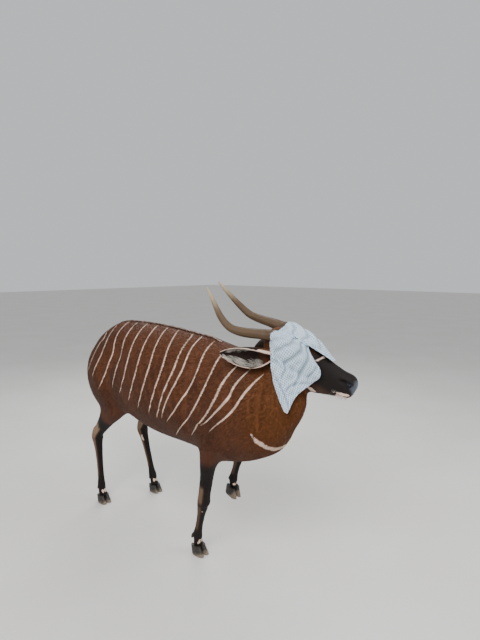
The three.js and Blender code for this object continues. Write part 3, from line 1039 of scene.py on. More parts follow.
    def face_marks(self, points: Array) -> Array:
        """How far points of the head lie outside its cream marks.

        Args:
            points: places in trunk millimetres.

        Returns:
            Millimetres, below 0 inside a mark.
        """
        found = [np.full(len(points), 60.0)]
        for places in both_sides(to_head(points)):
            bar, share = distance_to_line(places, self.bar)
            lip, along = distance_to_line(places, self.lip)
            found += [bar - 5.5 * (0.5 + 0.5 * share), lip - 7.0 * (0.3 + 0.7 * rise(along, 0.1, 0.5))]
            found += [(egg.away(places) - 1.0) * depth for egg, depth in self.patches]
        return np.min(found, axis=0)

    @staticmethod
    def leg_marks(points: Array, parts: Shares) -> Array:
        """How far points of the legs lie outside their cream patches.

        Args:
            points: places in trunk millimetres.
            parts: how much each point belongs to each solid.

        Returns:
            Millimetres, below 0 inside a patch.
        """
        found = np.full(len(points), 60.0)
        x, y, z = points.T
        ragged = 0.24 * np.sin(0.21 * z + 0.33 * x) + 0.16 * np.sin(0.47 * y)
        for leg in LEGS:
            places = np.stack(leg.along(points), 1)
            spots = [Egg((3.5, 22, side), (0.2, 11, 11)) for side in (13, -13)]
            if leg.fore:
                spots += [Egg((2.2, 14, 16), (0.03, 7, 7)), Egg((1.72, -6, -34), (0.12, 18, 18))]
            else:
                spots += [Egg((2.2, 10, -26), (0.06, 12, 12)), Egg((1.6, 6, -34), (0.12, 20, 20))]
            for spot in spots:
                away = spot.away(places) + ragged - 1.0
                found = np.minimum(found, away * 12.0 + 60.0 * (1.0 - parts[leg.node]))
        return found

    def shades(self, points: Array, parts: Shares) -> Shares:
        """The shares of the coat's other colours at points.

        Args:
            points: places in trunk millimetres.
            parts: how much each point belongs to each solid.

        Returns:
            Shares from 0 to 1, by the name that the finish reads.
        """
        x, _, z = points.T
        turn, places = self.round_trunk(points), to_head(points)
        ahead, across, above = places.T
        head, body = parts["head"], 1 - parts["head"]
        warm = rise(x, 720, 880) * (1 - 0.3 * rise(turn, 70, 120)) * body
        warm = np.maximum(warm, head * (1 - rise(ahead, 20, 110)))
        middle = 1 - rise(np.abs(points[:, 1] - MIDPLANE), 10, 26)
        jaw = rise(-above, 100, 135) * (1 - rise(ahead, 280, 330))
        near_horn = 1 - rise(beside(places, (-20, 42, -40)), 38, 78)
        darks = [
            0.6 * rise(turn, 150, 175) * rise(x, -420, -300) * (1 - rise(x, 560, 680)) * body,
            0.5 * middle * (turn < 30) * (x < 520) * body,
            head * rise(ahead + 0.25 * above, 60, 150) * (0.97 - 0.25 * jaw),
            0.7 * head * near_horn,
            parts["tail"] * rise(-z, -835, -765),
        ]
        tans = [0.3 * head * jaw * rise(ahead, 200, 260)]
        uprights = [parts["tail"]]
        for leg in LEGS:
            share = parts[leg.node]
            place, front, outer = leg.along(points)
            rear = rise(0.8 * np.abs(outer) - 0.9 * front, -2, 16)
            start = 1.12 if leg.fore else 1.3
            paler = rise(place, 1.62, 1.74) * (1 - rise(place, 2.72, 2.86))
            if leg.fore:
                paler = paler * (1 - 0.75 * bell(place, 2.05, 0.07))
            darks.append(share * rise(place, start, start + 0.2) * (1 - paler * rear) * 0.96)
            tans.append(share * rear * paler * np.where(place < 2.0, 0.95, 0.6))
            uprights.append(share * rise(place, 0.5, 1.3))
        dark = np.max(darks, axis=0)
        # the bare nose pad, where the finish paints a pale sheen that stands for a reflection of the sky
        rim = NOSE_PAD_AND_SHEEN.away(places) + 0.05 * np.sin(0.13 * across + 0.09 * above)
        # painted shade: the insides of the nostrils, which the finish paints near black
        hollow = np.zeros(len(points))
        for side in both_sides(places):
            away, share = distance_to_line(side, self.nostril)
            hollow = np.maximum(hollow, head * (1 - rise(away, 2.4 + 3.8 * share, 4.6 + 5.0 * share)))
        return {
            "warm": warm,
            "dark": np.clip(dark, 0, 1),
            "tan": np.max(tans, axis=0) * (1 - dark * 0.6),
            "upright": np.max(uprights, axis=0),
            "bare": head * (1 - rise(rim, 0.78, 1.1)),
            "saddle": 0.5 * rise(turn, 90, 140) * (1 - rise(x, 560, 700)) * body,
            "hollow": hollow,
        }


MARKINGS = Markings()


# Locks and tufts
@dataclass
class Locks:
    """Many tapered locks of hair in one mesh. Each leaves its root one way and ends another."""

    roots: Array
    lean: Array
    fall: Array
    wide: Array
    length: Array
    width: Array | float
    thick: Array | float
    chart: Array  # each root's place on the skin laid flat, for the bake map
    segments: int = 2
    kept: dict[str, Array | float] = field(default_factory=dict)

    def build(self, name: str) -> Piece:
        """The locks as one object: three points a ring, and one at each tip.

        Args:
            name: the object's name.

        Returns:
            The object.
        """
        total, rings = len(self.roots), self.segments
        each = rings * 3 + 1
        wide, length = unit(self.wide), self.length[:, None]
        width, thick = (np.broadcast_to(size, total)[:, None] for size in (self.width, self.thick))
        points, tips, spots = np.empty((total, each, 3)), np.ones((total, each)), np.empty((total, each, 2))
        points[:, -1] = self.roots + (self.lean + self.fall) * length
        spots[:, -1] = (0.0, 1.0)
        for ring in range(rings):
            t = ring / rings
            middle = self.roots + (self.lean * t + self.fall * t * t) * length
            up = np.cross(unit(self.lean + 2 * t * self.fall), wide)
            fullness = (1 - t) ** 0.55 if ring else 0.8
            for corner, (across, above) in enumerate(((-1, 0), (1, 0), (0, 1))):
                at = ring * 3 + corner
                spread = wide * across * (width * 0.5 * fullness)
                points[:, at] = middle + spread + up * above * thick * fullness
                tips[:, at] = t
                spots[:, at] = (0.5 * across, t)
        pattern = []
        for ring in range(rings - 1):
            low, high = ring * 3, ring * 3 + 3
            for first, second in ((0, 2), (2, 1), (1, 0)):
                pattern.append((low + first, high + first, low + second))
                pattern.append((low + second, high + first, high + second))
        last, tip = rings * 3 - 3, rings * 3
        pattern += [(last + first, tip, last + second) for first, second in ((0, 2), (2, 1), (1, 0))]
        pattern = np.array(pattern)[:, ::-1]
        faces = (np.arange(total)[:, None, None] * each + pattern[None]).reshape(-1, 3)
        mesh = bpy.data.meshes.new(name)
        mesh.vertices.add(total * each)
        mesh.loops.add(faces.size)
        mesh.polygons.add(len(faces))
        mesh.loops.foreach_set("vertex_index", faces.ravel())
        mesh.polygons.foreach_set("loop_start", np.arange(0, faces.size, 3))
        mesh.polygons.foreach_set("use_smooth", np.ones(len(faces), bool))
        moved(mesh, to_row(points.reshape(-1, 3)))
        mesh.update(calc_edges=True)
        note(mesh, "tip", tips.ravel())
        for key, values in self.kept.items():
            table = np.asarray(values, float)
            table = table if table.ndim == 2 else np.stack([np.broadcast_to(table, total)] * 2, 1)
            note(mesh, key, (table[:, :1] * (1 - tips) + table[:, 1:] * tips).ravel())
        self.bake_map(mesh, spots, faces)
        piece = bpy.data.objects.new(name, mesh)
        bpy.context.scene.collection.objects.link(piece)
        return piece

    def bake_map(self, mesh: Mesh, spots: Array, faces: Array) -> None:
        """Gives each lock a small patch of the bake map, at its root's place on the skin laid flat.

        Args:
            mesh: the locks' mesh.
            spots: each point's place on its own lock, across and along.
            faces: the mesh's triangles.
        """
        low, high = self.chart.min(0), self.chart.max(0)
        places = 0.01 + 0.975 * (self.chart - low) / np.maximum(high - low, 1e-6)
        flat = (places[:, None, :] + spots * 0.003).reshape(-1, 2)
        layer = mesh.uv_layers.new(name="OFBake")
        layer.data.foreach_set("uv", flat[faces.ravel()].astype(np.float32).ravel())


# Skin
FLESH = ("torso", "neck", "head", "foreleg_right", "foreleg_left", "hindleg_right", "hindleg_left", "tail")
EARS = ("ear_left", "ear_right")


def where_nearest(points: Array, nodes: Sequence[str]) -> Array:
    """Which of the solids lies nearest to each point.

    Args:
        points: places in the row frame.
        nodes: the solids' names.

    Returns:
        The number of the nearest solid in nodes, a point.
    """
    corners, faces, owners = [], [], []
    for number, node in enumerate(nodes):
        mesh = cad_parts[node].data
        start = len(corners)
        corners += [vertex.co.copy() for vertex in mesh.vertices]
        faces += [[start + index for index in face.vertices] for face in mesh.polygons]
        owners += [number] * len(mesh.polygons)
    tree = BVHTree.FromPolygons(corners, faces)
    return np.array([owners[tree.find_nearest(Vector(point))[2]] for point in points])


def beside(places: Array, spot: Sequence) -> Array:
    """How far places of the head lie from a spot on its left, or from the same spot on its right."""
    return np.minimum(*(norms(side - np.array(spot)) for side in both_sides(places)))


@dataclass(frozen=True)
class Ear:
    """A leaf rolled into a cup that opens outwards."""

    hand: str
    root: Point = (-34, 64, -148)
    half_width: float = 47.0
    wall: tuple[float, float] = (7.0, 3.0)  # its thickness at the root and at the tip
    rows: int = 22
    columns: int = 26

    @property
    def name(self) -> str:
        """The ear's solid."""
        return f"ear_{self.hand}"

    @property
    def sign(self) -> float:
        """1 on the left, -1 on the right."""
        return SIDES[self.hand]

    @property
    def tip(self) -> Point:
        """The ear's tip on the left of the head."""
        return (-150, 150, -344) if self.sign > 0 else (-221, 180, -263)

    def spot(self, t: Array, share: Array, reach: float | Array = 0.0) -> Array:
        """Places on the leaf.

        Args:
            t: from root to tip, 0 to 1.
            share: across the leaf, -1 to 1.
            reach: out of its back, in millimetres.

        Returns:
            Trunk millimetres, one place a row.
        """
        side = np.array([1.0, self.sign, 1.0])
        root, tip = np.array(self.root) * side, np.array(self.tip) * side
        along = unit(tip - root)
        out = np.array([0.2, self.sign, 0.12])
        out = unit(out - out @ along * along)
        wide = np.cross(out, along)
        half = 4 + self.half_width * np.sin(np.pi * (0.11 + 0.89 * t)) ** 0.8
        roll = np.radians(150 - 88 * t**0.7)
        radius = half / np.sin(np.minimum(roll, np.pi / 2))
        sideways = (radius + reach) * np.sin(share * roll)
        outward = radius - (radius + reach) * np.cos(share * roll)
        places = root + (tip - root) * t[:, None] + wide * sideways[:, None] + out * outward[:, None]
        return from_head(places)

    def build(self) -> Piece:
        """Makes the ear as a closed shell of its own.

        Returns:
            The shell, for the skin to take in.
        """
        select_only()
        bpy.ops.mesh.primitive_grid_add(x_subdivisions=self.columns, y_subdivisions=self.rows, size=2)
        piece = placed(f"work_{self.name}")
        flat = points_of(piece.data)
        share, t = flat[:, 0], (flat[:, 1] + 1) / 2 * 0.985
        wave = np.sin(9 * t + 1.0) * 1.6 * np.abs(share) ** 2
        moved(piece.data, to_row(self.spot(t, share * 0.985, wave)))
        group = piece.vertex_groups.new(name="wall")
        thinner = 1 - self.wall[1] / self.wall[0]
        for index, value in enumerate(t):
            group.add([index], 1.0 - thinner * float(value), "REPLACE")
        shell = {"thickness": self.wall[0] * MM * 0.8, "offset": 0.0, "use_even_offset": False}
        finished_with(piece, "SOLIDIFY", vertex_group=group.name, **shell)
        with editing(piece):
            bpy.ops.mesh.normals_make_consistent(inside=False)
        finished_with(piece, "SUBSURF", levels=1, render_levels=1)
        return piece


BOTH_EARS = tuple(Ear(hand) for hand in SIDES)


@dataclass
class Skin:
    """One skin over head, neck, trunk, legs, tail and ears, a coat's depth inside the solids."""

    voxel: float = 8.9
    depth: float = 3.5
    horn_root: Point = (0, 38, -42)
    plugs_across: tuple[float, float] = (30.0, 16.0)  # radii in the sockets of horn and eye
    tail_cut: float = 742.0
    piece: Piece = field(init=False)

    def build(self) -> Piece:
        """Makes the skin from the solids and shapes it.

        Returns:
            The skin.
        """
        pieces = [solid_copy(node) for node in FLESH]
        with editing(pieces[FLESH.index("tail")]):  # the tail ends above its locks
            end = {"plane_co": (0, 0, self.tail_cut * MM), "plane_no": (0, 0, -1)}
            bpy.ops.mesh.bisect(use_fill=True, clear_outer=True, **end)
        self.piece = joined(pieces + self.plugs(), "skin")
        finished_with(self.piece, "REMESH", mode="VOXEL", voxel_size=self.voxel * MM, adaptivity=0.0)
        self.flatten_crest()
        self.even_out()
        self.make_finer(lambda places: places[:, 0] > -60)
        self.make_finer(lambda places: (places[:, 0] > 268) | (beside(places, EYE) < 34))
        form = Form(self.piece)
        parts = self.parts(form)
        form.smooth(4, parts["head"])
        form.lift(-self.depth * (1 - 0.55 * parts["head"]) * (1 - 0.5 * self.lower(form, parts)))
        self.shape_trunk(form, parts)
        self.shape_legs(form, parts)
        self.shape_head(form, parts["head"])
        form.write()
        for one in BOTH_EARS:
            ear = one.build()
            finished_with(self.piece, "BOOLEAN", operation="UNION", object=ear, solver="EXACT")
            bpy.data.objects.remove(ear)
        select_only(self.piece)
        bpy.ops.object.shade_smooth()
        return self.piece

    def plugs(self) -> list[Piece]:
        """Balls that fill the sockets of the horns and eyes before the skin is drawn over them.

        Returns:
            The balls.
        """
        pieces = []
        for sign in SIDES.values():
            for place, radius in zip((self.horn_root, EYE), self.plugs_across):
                spot = to_row(from_head(np.array(place) * (1, sign, 1)))
                select_only()
                ball = {"segments": 24, "ring_count": 16, "radius": radius * MM}
                bpy.ops.mesh.primitive_uv_sphere_add(location=spot, **ball)
                pieces.append(placed("work_plug"))
        return pieces

    def make_finer(self, chosen: Callable[[Array], Array]) -> None:
        """Splits faces of the head in four.

        Args:
            chosen: tells which ones from their middles, in head millimetres.
        """
        middles = read(self.piece.data.polygons, "center")
        head = where_nearest(middles, FLESH) == FLESH.index("head")
        subdivided(self.piece, head & chosen(to_head(to_trunk(middles))))

    def flatten_crest(self) -> None:
        """Takes the solids' locks off the back line."""
        form = Form(self.piece)
        x, y, z = form.points.T
        line_x = (-572, -560, -520, -420, -280, -80, 120, 300, 430, 560, 680, 790)
        top = np.interp(x, line_x, (992, 1072, 1134, 1192, 1222, 1224, 1214, 1199, 1179, 1158, 1121, 1046))
        half = np.interp(x, line_x, (30, 92, 150, 196, 222, 246, 254, 244, 230, 212, 190, 166))
        across = np.clip(np.abs(y - MIDPLANE) / half, 0, 0.95)
        drop = 295 * (1 - np.sqrt(1 - across**2))
        near = (np.abs(y - MIDPLANE) < 80) & (x > -556) & (x < 560) & (z > 1000)
        form.points[:, 2] = np.where(near, np.minimum(z, top - drop), z)
        form.write()

    @staticmethod
    def parts(form: Form) -> Shares:
        """How much each point belongs to each solid, with soft borders."""
        owner = where_nearest(to_row(form.points), FLESH)
        return {node: form.spread((owner == number).astype(float), 8) for number, node in enumerate(FLESH)}

    @staticmethod
    def lower(form: Form, parts: Shares) -> Array:
        """How far points lie down the legs, from 0 above the elbow to 1 below the knee."""
        return np.max([parts[leg.node] * rise(leg.along(form.points)[0], 1.0, 1.8) for leg in LEGS], axis=0)

    def even_out(self) -> None:
        """Smooths the facets of the solids away, most on the trunk and least on the feet."""
        form = Form(self.piece)
        parts = self.parts(form)
        lower = self.lower(form, parts)
        broad = (1 - parts["head"]) * (1 - lower) * (1 - parts["tail"])
        form.smooth(46, broad)
        form.smooth(8, 0.25 + 0.75 * (1 - parts["head"]))
        form.write()

    @staticmethod
    def shape_trunk(form: Form, parts: Shares) -> None:
        """Adds the muscles, folds and bones that show under the coat.

        Args:
            form: the skin's points.
            parts: how much each point belongs to each solid.
        """
        strokes = (
            Swelling((645, -175, 890), (95, 80, 180), 14),
            Swelling((520, -190, 760), (70, 70, 110), 12),
            Swelling((-330, -200, 900), (110, 80, 150), 14),
            Swelling((-250, -120, 1120), (60, 55, 55), 14),
            Swelling((-170, -205, 1040), (120, 90, 90), -27),
            Swelling((-400, -150, 1120), (60, 60, 60), -12),
            Swelling((-330, -60, 1190), (90, 60, 50), 7),
            Swelling((470, -14, 1185), (120, 70, 60), 6),
            Swelling((-520, -60, 1060), (50, 60, 60), 6),
            Fold(((575, -110, 1120), (625, -165, 980), (660, -185, 850)), 26, 6),
            Fold(((500, -150, 1090), (470, -225, 930), (455, -225, 800), (470, -190, 690)), 36, -17),
            Fold(((560, -212, 930), (520, -222, 830), (500, -205, 720)), 26, -5),
            Fold(((862, -74, 1040), (872, -126, 939), (874, -142, 870), (872, -137, 759)), 13, -13, 3),
            Fold(((892, -90, 1000), (905, -118, 920), (905, -120, 830)), 20, 6, 3),
            Fold(((822, -120, 1000), (830, -152, 930), (838, -162, 844)), 12, -8, 3),
            Fold(((700, -170, 1030), (735, -182, 930), (748, -180, 830)), 22, -5, 3),
            Fold(((-60, -200, 700), (-130, -190, 720), (-200, -180, 760)), 40, 9),
            Fold(((-170, -215, 1010), (-215, -215, 900), (-235, -200, 790)), 34, -17),
            Fold(((-420, -190, 1040), (-470, -175, 900), (-440, -180, 760)), 30, -13),
            Fold(((300, -200, 700), (120, -200, 690), (-60, -190, 700)), 50, -5),
            Fold(((-360, -205, 1000), (-330, -215, 860), (-300, -200, 760)), 46, 6),
        )
        body = 1 - parts["head"]
        x, _, z = form.points.T
        turn = MARKINGS.round_trunk(form.points)
        cage = rise(x, -160, -40) * (1 - rise(x, 380, 460)) * rise(turn, 45, 75) * (1 - rise(turn, 110, 140))
        ribs = 1.4 * cage * np.sin(2 * np.pi * (x + 0.35 * (z - 900)) / 62)
        form.lift((strokes_at(strokes, form.points, MIDPLANE) + ribs) * body)
        form.smooth(2, body * (1 - Skin.lower(form, parts)))

    @staticmethod
    def shape_legs(form: Form, parts: Shares) -> None:
        """Adds knees, hocks, tendons and fetlocks.

        Args:
            form: the skin's points.
            parts: how much each point belongs to each solid.
        """
        amount = np.zeros(len(form.points))
        for leg in LEGS:
            place, front, outer = leg.along(form.points)
            wide = np.abs(outer)
            cannon = rise(place, 2.12, 2.3) * (1 - rise(place, 2.82, 2.95))
            forms = [
                -3.2 * cannon * bell(front, -7, 5) * rise(wide, 8, 16),
                2.4 * rise(place, 3.5, 3.85) + 3.6 * rise(place, 3.78, 3.98),
                3.0 * bell(place, 3.02, 0.07) * rise(-front, 4, 20),
                -3.0 * bell(place, 3.5, 0.18) * rise(front, 0, 16),
            ]
            if leg.fore:
                forms += [
                    3.0 * bell(place, 1.98, 0.07) * rise(front, 5, 25),
                    -2.5 * bell(place, 2.1, 0.04) * rise(front, 5, 25),
                    4.0 * bell(place, 1.3, 0.2) * rise(wide, 10, 30),
                    -3.0 * bell(place, 1.6, 0.18) * bell(front, -12, 7),
                ]
            else:
                forms += [
                    5.0 * bell(place, 1.93, 0.06) * rise(-front, 14, 40),
                    -7.0 * bell(place, 1.72, 0.15) * bell(front, -22, 12) * rise(wide, 4, 14),
                    3.0 * bell(place, 2.05, 0.07) * rise(wide, 8, 22),
                ]
            amount += parts[leg.node] * sum(forms)
        form.lift(amount)
        for leg in LEGS:
            down = unit(np.array(leg.joints[4], float) - leg.joints[3])
            foot = parts[leg.node] * rise(leg.along(form.points)[0], 3.7, 3.95)
            form.points += down * (5.5 * foot)[:, None]

    def shape_head(self, form: Form, head: Array) -> None:
        """Adds brows, lids, cheeks, nostrils, lips and chin.

        Args:
            form: the skin's points.
            head: how much each point belongs to the head.
        """
        strokes = (
            Swelling((40, -66, -140), (60, 40, 60), 4),
            Swelling((112, -58, -34), (36, 24, 14), 4),
            Swelling((205, -46, -78), (60, 30, 22), -3.5),
            Swelling((306, -30, -12), (26, 20, 14), 3.0),
            Swelling((330, 0, 0), (52, 40, 34), 8.0),
            Fold(((176, -34, -150), (218, -36, -152), (262, -32, -140)), 34, 12, 3),
            Swelling((352, 0, -104), (22, 26, 16), 3.0),
            Fold(((120, -22, -2), (210, -20, 0), (290, -18, -2)), 9, 1.6),
            Fold(((150, -58, -74), (176, -52, -84), (196, -48, -92)), 6, -3.0),
            Fold(((150, -60, -104), (205, -52, -98), (262, -44, -86)), 12, 2.6),
            Fold(((300, -46, -66), (330, -44, -60), (356, -36, -54)), 9, 2.2),
            Fold(((276, -44, -104), (300, -44, -84), (318, -42, -68)), 7, -1.8),
        )
        form.lift(strokes_at(strokes, to_head(form.points)) * head)
        form.smooth(2, head)
        poll = to_head(form.points)
        form.smooth(14, head * (1 - rise(poll[:, 0], -25, 5)) * rise(poll[:, 2], -110, -60))
        self.shape_lids(form, head)
        lips = (
            Fold(
                ((272, -48, -129), (306, -44, -111), (340, -40, -92), (366, -28, -77), (388, 0, -65)),
                2.8,
                -7.5,
                9,
            ),
            Fold(((284, -46, -115), (320, -43, -96), (350, -37, -78), (372, -24, -65)), 5.5, 3.2),
            Fold(((290, -44, -130), (324, -40, -111), (352, -32, -97), (374, 0, -86)), 6.0, 3.0),
            Fold(((296, -44, -92), (322, -43, -74), (346, -38, -60)), 5.0, -2.4),
            Fold(((266, -50, -124), (276, -48, -130), (282, -46, -140)), 4.0, -2.6),
            Fold(((388, 0, -40), (386, 0, -56), (382, 0, -64)), 2.4, -2.6, 8),
            Fold(Markings.nostril, 5.5, -14.0, 5),
            Fold(((326, -35, -20), (340, -31, -25)), 7.5, -9.0, 4),
            Fold(((296, -33, -13), (320, -31, -7), (342, -26, -9), (352, -22, -20)), 5.0, 3.2),
            Fold(((298, -44, -44), (318, -44, -43), (332, -42, -52)), 5.5, 3.6),
            Fold(((352, -10, -8), (366, -12, -24), (372, -14, -44)), 6.0, 1.6),
            Fold(((340, -40, -58), (358, -33, -56), (374, -18, -58)), 4.0, -2.2),
        )
        form.lift(strokes_at(lips, to_head(form.points)) * head)

    @staticmethod
    def shape_lids(form: Form, head: Array) -> None:
        """Draws the lids over the eyeballs and leaves the slit between them.

        Args:
            form: the skin's points.
            head: how much each point belongs to the head.
        """
        places = to_head(form.points)
        for sign in SIDES.values():
            look, level, above = eye_ways(sign)
            off = places - EYE * (1, sign, 1)
            out, across, high = off @ look, off @ level, off @ above
            slit = (across / 17.0) ** 2 + (high / 9.5) ** 2
            ring = np.sqrt(across**2 + high**2)
            zone = (1 - rise(ring, 20, 30)) * (out > 0) * head
            flat = np.minimum(ring, EYE_RADIUS + 1.5)
            lid = np.sqrt(np.maximum((EYE_RADIUS + 3.0) ** 2 - flat**2, 9.0))
            inside = np.sqrt(np.maximum((EYE_RADIUS - 5.0) ** 2 - np.minimum(ring, 12) ** 2, 4.0))
            shut = rise(slit, 0.75, 1.2)
            wanted = lid * shut + inside * (1 - shut) + 1.6 * bell(slit, 1.35, 0.25)
            places = places + look * ((wanted - out) * zone * rise(30 - ring, 0, 9))[:, None]
        form.points = from_head(places)


# Coat
@dataclass(frozen=True)
class Patch:
    """One piece of the coat: the part and side that it covers, how dense and how long its tufts are."""

    part: str
    hand: str
    count: int
    length: float
    width: float
    lift: float

    @property
    def name(self) -> str:
        """The piece's name."""
        return f"coat_{self.part}_{self.hand}".rstrip("_")

    @property
    def leg(self) -> Leg | None:
        """The leg that it covers, if it does."""
        return next((leg for leg in LEGS if (leg.end, leg.hand) == (self.part, self.hand)), None)

    def short(self, points: Array) -> Array:
        """How long the hair is, shorter towards the muzzle and the feet.

        Args:
            points: the roots, in trunk millimetres.

        Returns:
            A share of the patch's own length, a root.
        """
        if self.part == "head":
            return 1 - 1.4 * rise(to_head(points)[:, 0], 120, 330)
        return 1.6 * rise(points[:, 2], 150, 650) if self.leg else np.ones(len(points))

    def chart(self, points: Array) -> Array:
        """Where roots lie on the skin laid flat.

        Args:
            points: the roots, in trunk millimetres.

        Returns:
            Two numbers a root: along the part, and round it.
        """
        if self.part in ("head", "ears"):
            ahead, across, above = to_head(points).T
            axis = np.interp(ahead, (-100, 0, 140, 262, 378), (-98, -112, -112, -80, -50))
            return np.stack([ahead - 0.6 * np.abs(across), np.arctan2(across, above - axis)], 1)
        if self.leg:
            place, front, outer = self.leg.along(points)
            return np.stack([np.arctan2(outer, front), place], 1)
        if self.part == "tail":
            return np.stack([np.arctan2(points[:, 1] - MIDPLANE, points[:, 0] + 600), points[:, 2]], 1)
        return np.stack([points[:, 0], MARKINGS.round_trunk(points)], 1)

    def covers(self, middles: Array, owners: Array) -> Array:
        """How thickly it covers the skin's triangles.

        Args:
            middles: the triangles' middles, in trunk millimetres.
            owners: the solid that each triangle belongs to, as a number in NODES.

        Returns:
            A weight for each triangle.
        """
        x = middles[:, 0]
        if self.leg:
            return (owners == NODES.index(self.leg.node)) * (1.0 + 1.2 * (middles[:, 2] < 480))
        if self.part in TRUNK_SPANS:
            low, high = TRUNK_SPANS[self.part]
            body = np.isin(owners, [NODES.index("torso"), NODES.index("neck")])
            hand = (middles[:, 1] > MIDPLANE) == (self.hand == "left")
            return (body & hand & (x > low) & (x <= high)).astype(float)
        if self.part == "head":
            places = to_head(middles)
            nostril = np.minimum(*(distance_to_line(p, Markings.nostril)[0] for p in both_sides(places)))
            bare = (NOSE_PAD_AND_SHEEN.away(places) < 1.1) | (beside(places, (118, 70, -56)) < 22) | (nostril < 9)
            crown = 1.0 - 0.75 * rise(places[:, 0], -45, -15) * (1 - rise(places[:, 0], 110, 165))
            return ((owners == NODES.index("head")) & ~bare) * crown
        if self.part == "ears":
            return np.isin(owners, [NODES.index(name) for name in EARS]).astype(float)
        return (owners == NODES.index("tail")).astype(float)


NODES = FLESH + EARS
TRUNK_SPANS = {"neck": (600, math.inf), "trunk": (-60, 600), "rump": (-math.inf, -60)}
PAIRED = (
    ("neck", 14000, 17, 2.7, 0.13),
    ("trunk", 19000, 19, 2.9, 0.11),
    ("rump", 13000, 19, 2.9, 0.11),
    ("fore", 6500, 11, 2.2, 0.14),
    ("hind", 7000, 12, 2.2, 0.14),
)
PATCHES = (
    *(Patch(part, hand, *sizes) for part, *sizes in PAIRED for hand in ("right", "left")),
    Patch("head", "", 19500, 7.5, 1.5, 0.14),
    Patch("ears", "", 7000, 9, 1.7, 0.2),
    Patch("tail", "", 2500, 15, 2.2, 0.18),
)


@dataclass
class Roots:
    """Places on the skin: the corners of each one's triangle, and how near it lies to each corner."""

    near: Array
    shares: Array

    def read(self, values: Array) -> Array:
        """Values of the skin's points at these places."""
        table = values.reshape(len(values), -1)[self.near]
        return (table * self.shares[:, :, None]).sum(1).reshape((len(self.near),) + values.shape[1:])


